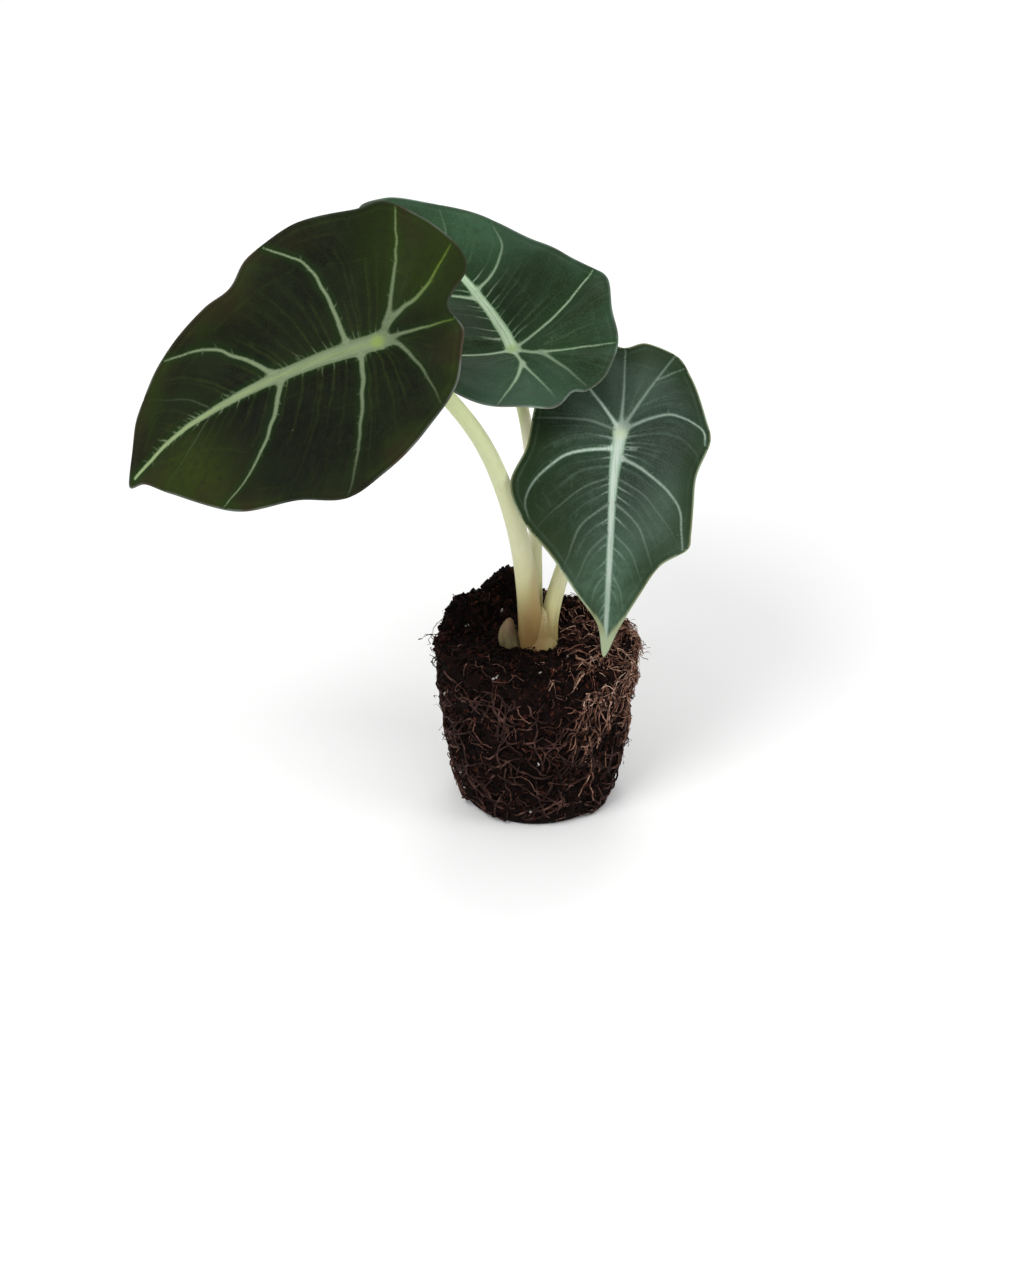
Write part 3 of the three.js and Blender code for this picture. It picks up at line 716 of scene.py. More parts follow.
# %% What each point of a leaf knows
def stacked(group, key):
    return np.concatenate([v[key] for v in group])


def measure(leaf, flat, margin, strong, spur_list, fine):
    """For each flat point: its distances to rim, veins and ribs, and how pale and wide these are."""
    everything = strong + spur_list
    vein_gap, which = nearest(flat, stacked(everything, "line"), stacked(everything, "half"))
    pale, half = stacked(everything, "pale")[which], stacked(everything, "half")[which]
    # Where bold veins meet, their edges flow into each other, as sums of such falling terms do.
    fillet = leaf["fillet"]
    found = [nearest(flat, v["line"][::2], v["half"][::2]) for v in strong]
    gaps = np.stack([gap for gap, _ in found])
    pales = np.stack([v["pale"][::2][k] for v, (_, k) in zip(strong, found)])
    bold = np.array([v["pale"].max() >= BOLD_PALE for v in strong])
    weights = np.exp(-np.minimum(gaps[bold], 12) / fillet)
    panel = -fillet * np.log(weights.sum(axis=0))
    strength = (weights * pales[bold]).sum(axis=0) / weights.sum(axis=0)
    for gap, dim in zip(gaps[~bold], pales[~bold]):
        strength = np.where(gap < panel, dim, strength)
        panel = np.minimum(gap, panel)
    fine_tree = tree_of(stacked(fine, "line"))
    found = [fine_tree.find((*p, 0)) for p in flat.tolist()]
    rib_line, rib_radius = stacked(strong, "line")[::2], stacked(strong, "rib")[::2]
    rib_gap, rib = nearest(flat, rib_line, rib_radius)
    cad_lines = stacked(strong[: -len(leaf["late_veins"])], "cad_line")
    return {
        "vein": np.minimum(vein_gap, panel), "pale": np.where(panel < vein_gap, strength, pale),
        "half": half, "panel": panel, "strength": strength,
        "rim": np.where(margin, 0, nearest(flat, smooth_line(leaf["outline"], 0.15, closed=True))[0]),
        "fine_gap": np.array([gap for _, _, gap in found]),
        "fine_pale": stacked(fine, "pale")[[k for _, k, _ in found]],
        "rib": rib_gap, "rib_radius": rib_radius[rib], "middle": nearest(flat, strong[0]["line"])[0],
        "cad_gap": nearest(flat, cad_lines[::3])[0],
    }


# %% Relief of the two faces
def lifts(leaf, flat, known):
    """How far the upper and the lower face stand off the plain blade at each flat point."""
    rim, radius = known["rim"], known["rib_radius"]
    thick = 0.5 + 0.4 * ease(rim, 0, 14)
    half_rim = thick * 0.5
    deep = np.minimum(rim, half_rim)
    rounding = half_rim - np.sqrt(np.maximum(0, half_rim**2 - (half_rim - deep) ** 2))
    furrow = 0.16 * (1 - ease(known["panel"], -0.3, 0.9))
    furrow += 0.06 * known["fine_pale"] * bump(known["fine_gap"], 0, 0.35)
    # Between the veins the blade bulges a little more than the CAD solid does.
    quilt = leaf["quilt"] * (1 - bump(known["panel"], 0, 3.2)) * ease(rim, 0, 4)
    quilt += 0.25 * noise_over(flat, 5, 7.3) * ease(rim, 0, 3)
    grain = 0.035 * noise_over(flat, 1.7, 2.9) * ease(rim, 0, 2)
    off = np.clip(known["rib"] + radius, 0, radius)
    hang = np.maximum(0, radius + RIB_COVER + np.sqrt(np.maximum(0, radius**2 - off**2)) - thick)
    hang = hang * ease(-known["rib"], -0.35, 0.1)
    hang += 0.1 * known["fine_pale"] * bump(known["fine_gap"], 0, 0.3)
    return quilt - furrow - rounding + grain, quilt - thick + rounding - hang * ease(rim, 0.1, 1.2)


# %% Raise a blade
def raise_blade(leaf, seed, finishes):
    """Makes one blade's mesh, with what its materials read stored on its points and corners."""
    random = np.random.default_rng(seed)
    ring = leaf["ring"] = smooth_line(leaf["outline"], 0.45, closed=True)[:-1]
    strong = strong_veins(leaf, ring)
    fine, spur_list = fine_veins(leaf, strong, random)
    spur_list += spurs(strong, random, leaf["barbs"], leaf["spur"][2])
    flat, faces, margin = flat_mesh(ring, strong, spur_list, fine)
    known = measure(leaf, flat, margin, strong, spur_list, fine)
    sheets = [blade_place(leaf, flat, known["cad_gap"], lift) for lift in lifts(leaf, flat, known)]
    # The two sheets share the margin's points, so the lower sheet's own ones there are left out.
    below = np.arange(len(flat)) + len(flat)
    below[margin] = np.flatnonzero(margin)
    all_faces = np.vstack([faces, below[faces][:, ::-1]])
    used = np.unique(all_faces)
    number = np.full(2 * len(flat), -1)
    number[used] = np.arange(len(used))
    blade = new_piece(f"blade_{leaf['side']}_velvet", np.vstack(sheets)[used], number[all_faces], finishes)
    blade.data.polygons.foreach_set("material_index", [0] * len(faces) + [1] * len(faces))
    # The pale margin is a hair line that broadens at a pale tip.
    tip_gap = np.hypot(*(flat - np.array(leaf["outline"][0])).T)
    broad = 1.5 * (1 - ease(tip_gap, 2, 12)) + 0.25 * (1 - ease(tip_gap, 10, 30))
    line_width = 0.22 + leaf["pale_tip"] * broad
    edge = 1 - ease(known["rim"], line_width * 0.6, line_width * 1.3)
    edge = np.maximum(edge, leaf["pale_tip"] * (1 - ease(tip_gap, 2.0, 6.5)))
    for name, values in {
        "vein": np.clip(known["vein"], -3, 6), "pale": known["pale"], "edge": edge,
        "fine": known["fine_pale"] * np.clip(1 - known["fine_gap"] / 0.32, 0, 1),
        "rim": np.clip(known["rim"], 0, 30), "rib": np.clip(known["rib"], -3, 6),
        "middle": np.clip(known["middle"], 0, 6), "panel": np.clip(known["panel"], 0, 12),
        "hump": np.clip(-known["vein"] / known["half"], 0, 1), "strength": known["strength"],
    }.items():
        mark(blade, name, np.tile(values, 2)[used])
    corners = corners_of(blade)
    for name, values in (("flat_leaf", flat / 100), ("comb", comb(flat, ways_round(strong)) / 10)):
        plan = np.vstack([values, values])[used]
        blade.data.uv_layers.new(name=name).data.foreach_set("uv", plan[corners].ravel())
    stand_in(blade, f"blade_{leaf['side']}")
    print(len(spur_list), "spurs,", len(fine), "fine veins")


# %% [markdown]
# ## Velvet finish of the upper face
# The upper face is matt and nearly black because its cells are domed like lenses and swallow the
# light, and it turns grey-green where one looks along it. A Principled shader with a very low
# albedo, hardly any specular level and a tinted sheen does the same. The pattern follows the flat
# leaf: one UV map is the plan in units of 100 mm, the other the comb in units of 10 mm, and the
# distances to veins and margin come from the mesh. Each layer is a colour and the share of it;
# some layers are painted light and shade, as said where they are made.

# %% Upper face material
def velvet_face(name, look):
    """The upper face's finish in the colours and shares of one leaf's look."""
    material, tree = new_finish(
        name, roughness=0.6, sheen_weight=look["sheen"], sheen_roughness=0.5,
        sheen_tint=paint("#a9bdb0"), specular_ior_level=look["gloss"],
    )
    mesh = {
        key: add_node(tree, "ShaderNodeAttribute", out="Fac", attribute_name=key)
        for key in ("vein", "pale", "fine", "rim", "edge", "middle", "panel", "hump", "strength")
    }
    plan = add_node(tree, "ShaderNodeUVMap", uv_map="flat_leaf")
    lanes = add_node(tree, "ShaderNodeUVMap", uv_map="comb")
    # The comb is 0.7 mm from lane to lane and 8 mm long. Ribbons of 0.4 by 7 mm run along the midrib.
    combed = add_node(tree, "ShaderNodeMapping", {"Vector": lanes, "Scale": (14, 1.2, 1)})
    ribbon = add_node(tree, "ShaderNodeMapping", {"Vector": plan, "Scale": (14, 260, 1)})
    # Pattern sizes: patches of 14 mm, borders of 20 mm, breaks of 3.5 mm, ragged edges of 0.6 mm,
    # brown parts of the rim of 11 mm, mottles of 2 mm. The lens cells are 0.05 mm wide; they are
    # drawn at 0.35 mm, the finest that shows.
    grain = {
        key: add_node(tree, "ShaderNodeTexNoise", {"Vector": vector, "Scale": scale, "Detail": detail})
        for key, vector, scale, detail in (
            ("patches", plan, 7, 3), ("border", plan, 5, 2), ("breaks", plan, 28, 2),
            ("ragged", plan, 160, 2), ("rim", plan, 9, 1), ("mottle", plan, 55, 4),
            ("combed", combed, 1, 3), ("ribbon", ribbon, 1, 2), ("cells", plan, 280, 1),
        )
    }
    ragged = {0: grain["ragged"], 1: 0.3, 2: mesh["vein"]}
    ragged_gap = add_node(tree, "ShaderNodeMath", ragged, operation="MULTIPLY_ADD")
    uneven = {0: grain["border"], 1: look["border_reach"]}
    border_reach = add_node(tree, "ShaderNodeMath", uneven, operation="MULTIPLY")
    # Glows are round patches of another tone. Most are painted light and shade: the paler ones stand for
    # sheen and light, the darker ones for shade. The last one is the pale spot over the stalk, which is the
    # leaf's own colour.
    glows = []
    for at, size, amount, colour in (
        *look["glows"], look["late_glow"], ((0.3, 0), 2.4, 0.8, look["stalk_spot"]),
    ):
        ball = round_patch(tree, plan, (-at[0] / size, -at[1] / size, 0), [100 / size] * 3)
        inputs = {0: ball, 2: 0.8, 4: amount}
        glow = add_node(tree, "ShaderNodeMapRange", inputs, interpolation_type="SMOOTHSTEP")
        glows.append((glow, paint(colour)))
    *glows, late_glow, stalk_glow = glows
    # Specks of dust, 0.4 mm across and some 12 mm apart.
    dust = add_node(tree, "ShaderNodeTexVoronoi", {"Vector": plan, "Scale": 8})
    from_stalk = add_node(tree, "ShaderNodeSeparateXYZ", {"Vector": plan}, "X")
    share = {
        key: add_node(tree, "ShaderNodeMapRange", {0: value, 1: low, 2: high, 3: at_low, 4: at_high},
                      interpolation_type="SMOOTHSTEP")
        for key, value, low, high, at_low, at_high in (
            ("patches", grain["patches"], 0.38, 0.64, 0.0, 1.0),
            ("mottle", grain["mottle"], 0.4, 0.75, 0.0, 0.6),
            ("combed", grain["combed"], 0.42, 0.7, 0.0, look["comb_share"]),
            ("border", mesh["rim"], 0.0, border_reach, look["border_share"], 0.0),
            ("edges", grain["border"], 0.38, 0.6, look["border_least"], 1.0),
            # Painted shade: the middle of each panel between the veins is darkened, for the shading of the
            # quilted blade.
            ("panel", mesh["panel"], 1.0, 7.0, 0.0, look["panel_shade"]),
            # The halo is the leaf's own green beside its veins. Where it reaches wide, on the back and
            # right leaves, it is also painted light that shapes the quilted panels.
            ("halo", mesh["panel"], 0.0, look["halo_reach"], look["halo_share"], 0.0),
            ("vein", ragged_gap, look["soft"], -0.1, 0.0, 1.0),
            ("hump", mesh["hump"], 0.0, 0.7, 0.0, 1.0),
            ("ribbon", grain["ribbon"], 0.4, 0.7, 0.0, 0.5),
            ("core", mesh["middle"], look["core_width"], 0.0, 0.0, look["core_share"]),
            ("rim", grain["rim"], 0.42, 0.58, 0.0, 1.0),
            ("far", from_stalk, -0.05, -0.2, 0.0, 1.0),
            ("dust", dust, 0.013, 0.024, 0.4, 0.0),
            # Painted glints: pale specks in the grain of the lens cells.
            ("speckle", grain["cells"], 0.5, 0.7, 0.0, look["speckle"]),
            ("rim_line", grain["border"], 0.4, 0.58, look["rim_least"], 1.0),
        )
    }
    for key, first, second in (
        ("vein", share["vein"], mesh["pale"]), ("border", share["border"], share["edges"]),
        ("fine", mesh["fine"], grain["breaks"]), ("fine", None, look["fine_share"]),
        ("halo", share["halo"], mesh["strength"]), ("rim_line", None, mesh["edge"]),
    ):
        inputs = {0: first or share[key], 1: second}
        share[key] = add_node(tree, "ShaderNodeMath", inputs, operation="MULTIPLY", use_clamp=True)
    tones = {key: paint(value) for key, value in look.items() if str(value).startswith("#")}
    tones["glow"] = glows[0][1]
    for key, amount, first, second in (
        ("rim", share["rim"], "rim", "rim_brown"), ("border", share["rim"], "border", "border_brown"),
        ("halo", glows[0][0], "halo", "glow"), ("vein", share["far"], "vein", "vein_far"),
        ("vein_edge", share["far"], "vein_edge", "edge_far"),
        ("vein", share["hump"], "vein_edge", "vein"), ("vein", share["core"], "vein", "core"),
        ("vein", share["ribbon"], "vein", "vein_edge"), ("vein", stalk_glow[0], "vein", "stalk_spot"),
    ):
        tones[key] = layered(tree, tones[first], [(amount, tones[second])])
    lamina = layered(tree, tones["dark"], (
        (share["patches"], tones["mid"]), (share["panel"], tones["dark"]), *glows[::-1],
        (share["mottle"], tones["mid"]), (share["combed"], tones["comb"]),
        (share["speckle"], tones["fine"]), late_glow, (share["border"], tones["border"]),
        (share["halo"], tones["halo"]), (share["fine"], tones["fine"]), (share["vein"], tones["vein"]),
        (share["rim_line"], tones["rim"]), (share["dust"], "#a9b0a0"),
    ))
    end_finish(tree, lamina, (grain["combed"], 0.3, 0.0003), (grain["cells"], 0.2, 0.0002))
    return material


# %% [markdown]
# ## Finish of the lower face
# The lower face of this plant is dull and pale, grey-green with a breath of mauve between the
# ribs, and its ribs are paler. The mesh gives it the relief, so the material only needs colour.

# %% Lower face material
# Patches of 11 mm in the colour, and a grain of 0.6 mm in the relief.
underside, tree = new_finish(
    "leaf_lower_face", roughness=0.62, sheen_weight=0.08, specular_ior_level=0.3,
)
rib, fine, edge = (
    add_node(tree, "ShaderNodeAttribute", out="Fac", attribute_name=key)
    for key in ("rib", "fine", "edge")
)
plan = add_node(tree, "ShaderNodeUVMap", uv_map="flat_leaf")
patches = add_node(tree, "ShaderNodeTexNoise", {"Vector": plan, "Scale": 9, "Detail": 4})
grain = add_node(tree, "ShaderNodeTexNoise", {"Vector": plan, "Scale": 160, "Detail": 2})
fine = add_node(tree, "ShaderNodeMath", {0: fine, 1: 0.6}, operation="MULTIPLY")
rib = add_node(tree, "ShaderNodeMapRange", {0: rib, 1: 0.3, 2: -0.1}, interpolation_type="SMOOTHSTEP")
layers = ((patches, "#73665f"), (fine, "#8a9473"), (rib, "#9aa27c"), (edge, "#8a8c78"))
end_finish(tree, layered(tree, paint("#59664b"), layers), (grain, 0.2, 0.0002))
print("lower face finish has", len(tree.nodes), "nodes")

# %% [markdown]
# ## The three blades
# The oldest leaf, on the left, is nearly black, and its olive borders are painted light. The two others are
# younger and greener, and stand so that more of their grey sheen shows. So each gets its own set of colours
# for the same material, and the greyer tones of these two are partly painted sheen.

# %% Colours and making of the blades
# A glow is a place on the plan, a size in millimetres, a share and a colour. The glows are mostly painted
# light and shade, and the left leaf's olive border is painted light.
LOOKS = {
    "left": {
        "dark": "#0f110a", "mid": "#1a2010", "comb": "#222a13", "comb_share": 0.32, "panel_shade": 0.5,
        # Painted light: the olive border and the olive glows stand for light shining through the thin
        # margins and for sheen where they bend away.
        "border": "#26310f", "border_brown": "#292713", "border_share": 0.85, "border_least": 0.15,
        "border_reach": 17,
        "glows": [((-15, -17), 21, 0.35, "#35480d"), ((52, 17), 22, 0.5, "#3c480f")],
        "late_glow": ((26, 12), 24, 0.35, "#0b0c08"),
        "halo": "#17380e", "halo_share": 0.6, "halo_reach": 1.8, "fine": "#3a481c", "fine_share": 0.7,
        "vein": "#98a884", "vein_edge": "#7c8e6a", "vein_far": "#8aa53f", "edge_far": "#5d7a1c",
        "core": "#a3b86c", "core_width": 0.6, "core_share": 0.5, "stalk_spot": "#a3bb62",
        "soft": 0.4, "rim": "#6b7069", "rim_brown": "#4d4338", "rim_least": 0.2, "speckle": 0.12,
        "sheen": 0.03, "gloss": 0.06,
    },
    "back": {
        "dark": "#18270f", "mid": "#243820", "comb": "#2c4730", "comb_share": 0.5, "panel_shade": 0.2,
        "border": "#304d38", "border_brown": "#2f4434", "border_share": 0.6, "border_least": 0.15,
        "border_reach": 16,
        # Painted light and shade: the paler glows are painted light, the dark glow and the late glow
        # painted shade.
        "glows": [
            ((38, -22), 26, 0.8, "#34573c"), ((14, -10), 20, 0.9, "#13230c"),
            ((-16, 8), 20, 0.6, "#3a5644"),
        ],
        "late_glow": ((14, -10), 22, 0.5, "#13230c"),
        "halo": "#1b3a18", "halo_share": 0.7, "halo_reach": 2.5, "fine": "#4b6647", "fine_share": 0.8,
        "vein": "#c5daba", "vein_edge": "#9dba93", "vein_far": "#c5daba", "edge_far": "#9dba93",
        "core": "#7c9c6e", "core_width": 0.26, "core_share": 0.6, "stalk_spot": "#a5c081",
        "soft": 0.45, "rim": "#75867a", "rim_brown": "#565b50", "rim_least": 0.45, "speckle": 0.3,
        "sheen": 0.08, "gloss": 0.1,
    },
    "right": {
        "dark": "#252d25", "mid": "#334136", "comb": "#3d4f41", "comb_share": 0.5, "panel_shade": 0.5,
        "border": "#1a2d10", "border_brown": "#213017", "border_share": 0.95, "border_least": 0.6,
        "border_reach": 17,
        # Painted light and shade: the paler glows are sheen and light on the right half and along the
        # midrib, the dark glow and the late glow shade on the left half.
        "glows": [
            ((22, 16), 18, 0.6, "#4c614f"), ((15, -25), 34, 0.9, "#182a0f"),
            ((42, -1), 24, 0.85, "#587560"), ((-15, -3), 17, 0.45, "#4c614f"),
        ],
        "late_glow": ((17, -23), 22, 0.7, "#182a0f"),
        "halo": "#22402a", "halo_share": 0.4, "halo_reach": 3.5, "fine": "#5a7060", "fine_share": 0.8,
        "vein": "#c4d4c6", "vein_edge": "#93ad96", "vein_far": "#c4d4c6", "edge_far": "#93ad96",
        "core": "#dce8dc", "core_width": 1.0, "core_share": 0.35, "stalk_spot": "#c3d2b0",
        "soft": 0.5, "rim": "#939f80", "rim_brown": "#848a66", "rim_least": 1.0, "speckle": 0.22,
        "sheen": 0.12, "gloss": 0.1,
    },
}
for leaf, seed in zip(LEAVES, (3, 5, 8)):
    upper_side = velvet_face(f"velvet_leaf_{leaf['side']}", LOOKS[leaf["side"]])
    raise_blade(leaf, seed, [upper_side, underside])


# %% [markdown]
# ## Petioles
# A petiole is a smooth fleshy stalk that widens into a sheath at its foot and bends in a knuckle
# under the blade. A curve with a bevel could make it, but the sheath's edge needs a section that
# changes along the stalk, so the tube is built ring by ring from a radius for each place and angle.

# %% Tubes
TUBE_SIDES = 40
# Heights that a stalk's foot passes upright: in the open, and down in the corm.
FOOT_LEVELS, ROOT_LEVELS = (41.7, 43.2), (38.5, 39.5, 40.7)


def closed_skin(bottom, rings, top):
    """Points and triangles of a closed skin from a bottom point over rings to a top point."""
    points = np.vstack([[bottom], *rings, [top]])
    faces, sides, last = [], len(rings[0]), len(points) - 1
    for s in range(sides):
        n = (s + 1) % sides
        faces.append((0, 1 + n, 1 + s))
        for k in range(len(rings) - 1):
            low, high = 1 + k * sides, 1 + (k + 1) * sides
            faces += [(low + s, low + n, high + n), (low + s, high + n, high + s)]
        faces.append((last - sides + s, last - sides + n, last))
    return points, faces


def tube(path, radius_at):
    """A closed round skin along a path; radius_at(part, angles) gives each ring's radii."""
    way = np.gradient(path, axis=0)
    way /= np.linalg.norm(way, axis=1)[:, None]
    out = np.cross(way[0], (0, 1, 0))
    angles = np.arange(TUBE_SIDES) * 2 * np.pi / TUBE_SIDES
    rings = []
    for k, (centre, ahead) in enumerate(zip(path, way)):
        out = out - ahead * (out @ ahead)
        out /= np.linalg.norm(out)
        side = np.cross(ahead, out)
        radii = radius_at(k / (len(path) - 1), angles)[:, None]
        rings.append(centre + radii * (np.cos(angles)[:, None] * out + np.sin(angles)[:, None] * side))
    return closed_skin(path[0], rings, path[-1])


def stalk_route(leaf):
    """The petiole's middle line from its foot in the corm into the blade's underside, and radii."""
    before = (np.array(leaf["path"][-1]) - leaf["at"]) @ turn_of(leaf)
    way = before / np.linalg.norm(before)
    bend = np.array([0, 0, -KNUCKLE_RADIUS])
    knuckle = [np.array([0, 0, -2 * RIB_COVER]), bend, bend + way * KNUCKLE_LENGTH]
    along = smooth_line(knuckle, 0.1)
    tangent = along[-1] - along[-2]
    tangent /= np.linalg.norm(tangent)
    # The free stalk meets the knuckle along the knuckle's own direction.
    beyond = [tuple(in_place(leaf, along[-1] + tangent * gap)) for gap in (2.8, 0.3)]
    foot, foot_radius, top_radius = leaf["foot"], leaf["foot_radius"], leaf["top_radius"]
    route = smooth_line([*((*foot, z) for z in FOOT_LEVELS), *leaf["path"], *beyond], 0.5)
    bent = in_place(leaf, smooth_line(knuckle[::-1], 0.5))[1:]
    below = np.array([(*foot, z) for z in ROOT_LEVELS])
    tapered = top_radius + (foot_radius - top_radius) * (1 - np.linspace(0, 1, len(route))) ** 2
    swollen = np.linspace(top_radius, KNUCKLE_RADIUS, len(bent))
    radii = np.concatenate([[foot_radius] * len(below), tapered, swollen])
    return np.vstack([below, route, bent]), radii


# %% [markdown]
# The stalk is glossy cream at its foot and turns yellow-green further up, with faint streaks along
# it and a few rusty flecks near the base. Streaks must follow the stalk, so the UV map holds the
# angle and the length along it.

# %% Petiole material
petiole_finish, tree = new_finish(
    "petiole_flesh", roughness=0.4, subsurface_weight=0.12, subsurface_scale=0.002,
    subsurface_radius=(1.0, 0.8, 0.3), specular_ior_level=0.45,
)
stalk_map = add_node(tree, "ShaderNodeUVMap", uv_map="round_and_along")
height = add_node(tree, "ShaderNodeAttribute", out="Fac", attribute_name="height")
own = add_node(tree, "ShaderNodeTexCoord", out="Object")
flesh = add_node(tree, "ShaderNodeValToRGB", {"Fac": height}, stops=(
    (0.0, "#8d7a4c"), (0.06, "#a08b58"), (0.12, "#ab9a64"), (0.2, "#c9c48f"), (0.32, "#d6d6ae"),
    (0.7, "#d0d8a6"), (1.0, "#c3cf94"),
))
# Streaks, 27 round the stalk and 3 mm long, and at the foot one rusty fleck in each 6 mm.
stretched = add_node(tree, "ShaderNodeMapping", {"Vector": stalk_map, "Scale": (9, 1.2, 1)})
streaks = add_node(tree, "ShaderNodeTexNoise", {"Vector": stretched, "Scale": 3, "Detail": 3})
inputs = {0: streaks, 1: 0.45, 2: 0.75, 3: 0.0, 4: 0.3}
streak_share = add_node(tree, "ShaderNodeMapRange", inputs, interpolation_type="SMOOTHSTEP")
flecks = add_node(tree, "ShaderNodeTexVoronoi", {"Vector": stretched, "Scale": 1.3})
fleck_size = add_node(tree, "ShaderNodeMapRange", {0: flecks, 1: 0.03, 2: 0.1, 3: 0.5, 4: 0.0})
low_down = add_node(tree, "ShaderNodeMapRange", {0: height, 1: 0.05, 2: 0.32, 3: 1.0, 4: 0.0})
fleck_share = add_node(tree, "ShaderNodeMath", {0: fleck_size, 1: low_down}, operation="MULTIPLY")
# Dark specks of 0.2 mm sit where the stalks part.
specks = add_node(tree, "ShaderNodeTexVoronoi", {"Vector": own, "Scale": 1100})
speck_size = add_node(tree, "ShaderNodeMapRange", {0: specks, 1: 0.16, 2: 0.24, 3: 1.0, 4: 0.0})
fork = round_patch(tree, own, (-0.55, 1.0, -12.2), [250] * 3)
speck_share = add_node(tree, "ShaderNodeMath", {0: speck_size, 1: fork}, operation="MULTIPLY")
layers = [(streak_share, "#bdc68c"), (fleck_share, "#a5713f"), (speck_share, "#3a3418")]
# The left stalk's foot darkens over its lowest 20 mm, where its old sheath dries, and a narrow
# rusty blush of 25 mm runs down its inner side. The thin back stalk is paler over its upper half,
# where light comes through it.
for location, scale, full, most, change, colour in (
    ((0.2, 0.48, -2.2), (167, 100, 50), 0.8, 0.95, "LINEAR", "#86683e"),
    ((-0.06, 1.26, -4.2), (300, 300, 72), 0.6, 0.5, "SMOOTHSTEP", "#aa8a50"),
    ((0.3, -1.29, -2.38), (300, 143, 29), 0.5, 0.9, "SMOOTHSTEP", "#faf6da"),
):
    inputs = {0: round_patch(tree, own, location, scale), 2: full, 4: most}
    layers.append((add_node(tree, "ShaderNodeMapRange", inputs, interpolation_type=change), colour))
end_finish(tree, layered(tree, flesh, layers), (streaks, 0.25, 0.0003))
print("petiole finish has", len(tree.nodes), "nodes")

# %% Make the petioles
# The angle at which each stalk's sheath is open, in radians.
SHEATH_EDGE = {"left": 5.3, "back": 3.6, "right": 2.4}


def new_stalk(name, route, radius_at, top, node):
    """A tube in the petiole finish; `top` is how far up a whole stalk its upper end would be."""
    stalk = new_piece(name, *tube(route, radius_at), [petiole_finish])
    ring = np.concatenate([[0], np.repeat(np.arange(len(route)), TUBE_SIDES), [len(route) - 1]])
    step = np.concatenate([[0], np.cumsum(np.linalg.norm(np.diff(route, axis=0), axis=1))])
    mark(stalk, "height", top * step[ring] / step[-1])
    corners = corners_of(stalk)
    turn = np.concatenate([[0], np.tile(np.arange(TUBE_SIDES) / TUBE_SIDES, len(route)), [0]])
    turn = turn[corners].reshape(-1, 3)
    # A triangle that closes the round ends at 1 and not at 0, so the pattern doesn't run back.
    turn[(turn.max(axis=1) > 0.9)[:, None] & (turn < 0.1)] += 1
    plan = np.stack([turn.ravel(), step[ring][corners] / 10], axis=1)
    stalk.data.uv_layers.new(name="round_and_along").data.foreach_set("uv", plan.ravel())
    stand_in(stalk, node)
    print(name, round(step[-1], 1), "mm long")


def grooved(radii, edge):
    """A stalk's radii, with a groove between two lips at its foot, where its sheath is open."""
    def radius_at(part, angles):
        off = np.angle(np.exp(1j * (angles - edge)))
        lips = bump(off, -0.42, 0.16) + bump(off, 0.42, 0.16)
        groove = bump(off, 0, 0.3)
        share = 1 - ease(part, 0.28, 0.5)
        return radii[round(part * (len(radii) - 1))] * (1 + share * (0.07 * lips - 0.09 * groove))
    return radius_at


# The two front stalks share a sheath at their feet; it fills the fork between them.
def sheath_radius(part, angles):
    """The radii of the shared sheath, which is oval and narrows upwards."""
    stops = (0, 0.25, 0.45, 0.75, 0.9, 1)
    wide = np.interp(part, stops, (5.0, 4.5, 3.0, 1.9, 1.3, 0.1))
    deep = np.interp(part, stops, (4.4, 3.9, 3.0, 2.5, 1.9, 0.1))
    turned = angles - 0.28
    return wide * deep / np.hypot(deep * np.cos(turned), wide * np.sin(turned))


for leaf in LEAVES:
    route, radii = stalk_route(leaf)
    node = f"petiole_{leaf['side']}"
    new_stalk(f"{node}_stalk", route, grooved(radii, SHEATH_EDGE[leaf["side"]]), 1.0, node)
sheath_path = smooth_line([(0.7, -1.1, 38.5), (0.9, -1.2, 45), (1.3, -1.35, 52)], 0.22)
new_stalk("shared_sheath", sheath_path, sheath_radius, 0.19, "corm")

# %% [markdown]
# ## Corm and side bud
# The corm is the short swollen stem in the medium. Only its ringed crown shows between the stalks,
# and a blunt side bud leans out of it under a papery scale. Both are tubes with the CAD solids'
# radii. The corm gets its rings and the bud the lip of its outer scale from the radius rule, and
# their finishes add rings and folds in relief.

# %% Corm and bud finishes
# Dry corm skin is brown, with rings of 1.1 mm. The bud's young scale is pale olive and nearly
# smooth, with folds of 1.7 mm that run up it, and its tip is rosy.
stem_finishes = []
for name, tones, roughness, stretch, strength in (
    ("corm_skin", ("#372b1b", "#61563a", "#7f7553"), 0.7, (0.35, 0.35, 2.2), 0.5),
    ("bud_scale", ("#40341f", "#5a5034", "#7a6e4c"), 0.6, (1.4, 1.4, 0.35), 0.2),
):
    finish, tree = new_finish(
        name, roughness=roughness, subsurface_weight=0.06, subsurface_scale=0.001, specular_ior_level=0.3,
    )
    own = add_node(tree, "ShaderNodeTexCoord", out="Object")
    stretched = add_node(tree, "ShaderNodeMapping", {"Vector": own, "Scale": stretch})
    folds = add_node(tree, "ShaderNodeTexNoise", {"Vector": stretched, "Scale": 420, "Detail": 4})
    stops = tuple(zip((0.32, 0.5, 0.7), tones))
    scale_tone = add_node(tree, "ShaderNodeValToRGB", {"Fac": folds}, stops=stops)
    if name == "bud_scale":
        up = add_node(tree, "ShaderNodeSeparateXYZ", {"Vector": own}, "Z")
        rosy = add_node(tree, "ShaderNodeMapRange", {0: up, 1: 0.0445, 2: 0.0485, 3: 0.0, 4: 0.4})
        scale_tone = layered(tree, scale_tone, [(rosy, "#8c6a50")])
    end_finish(tree, scale_tone, (folds, strength, 0.0004))
    stem_finishes.append(finish)


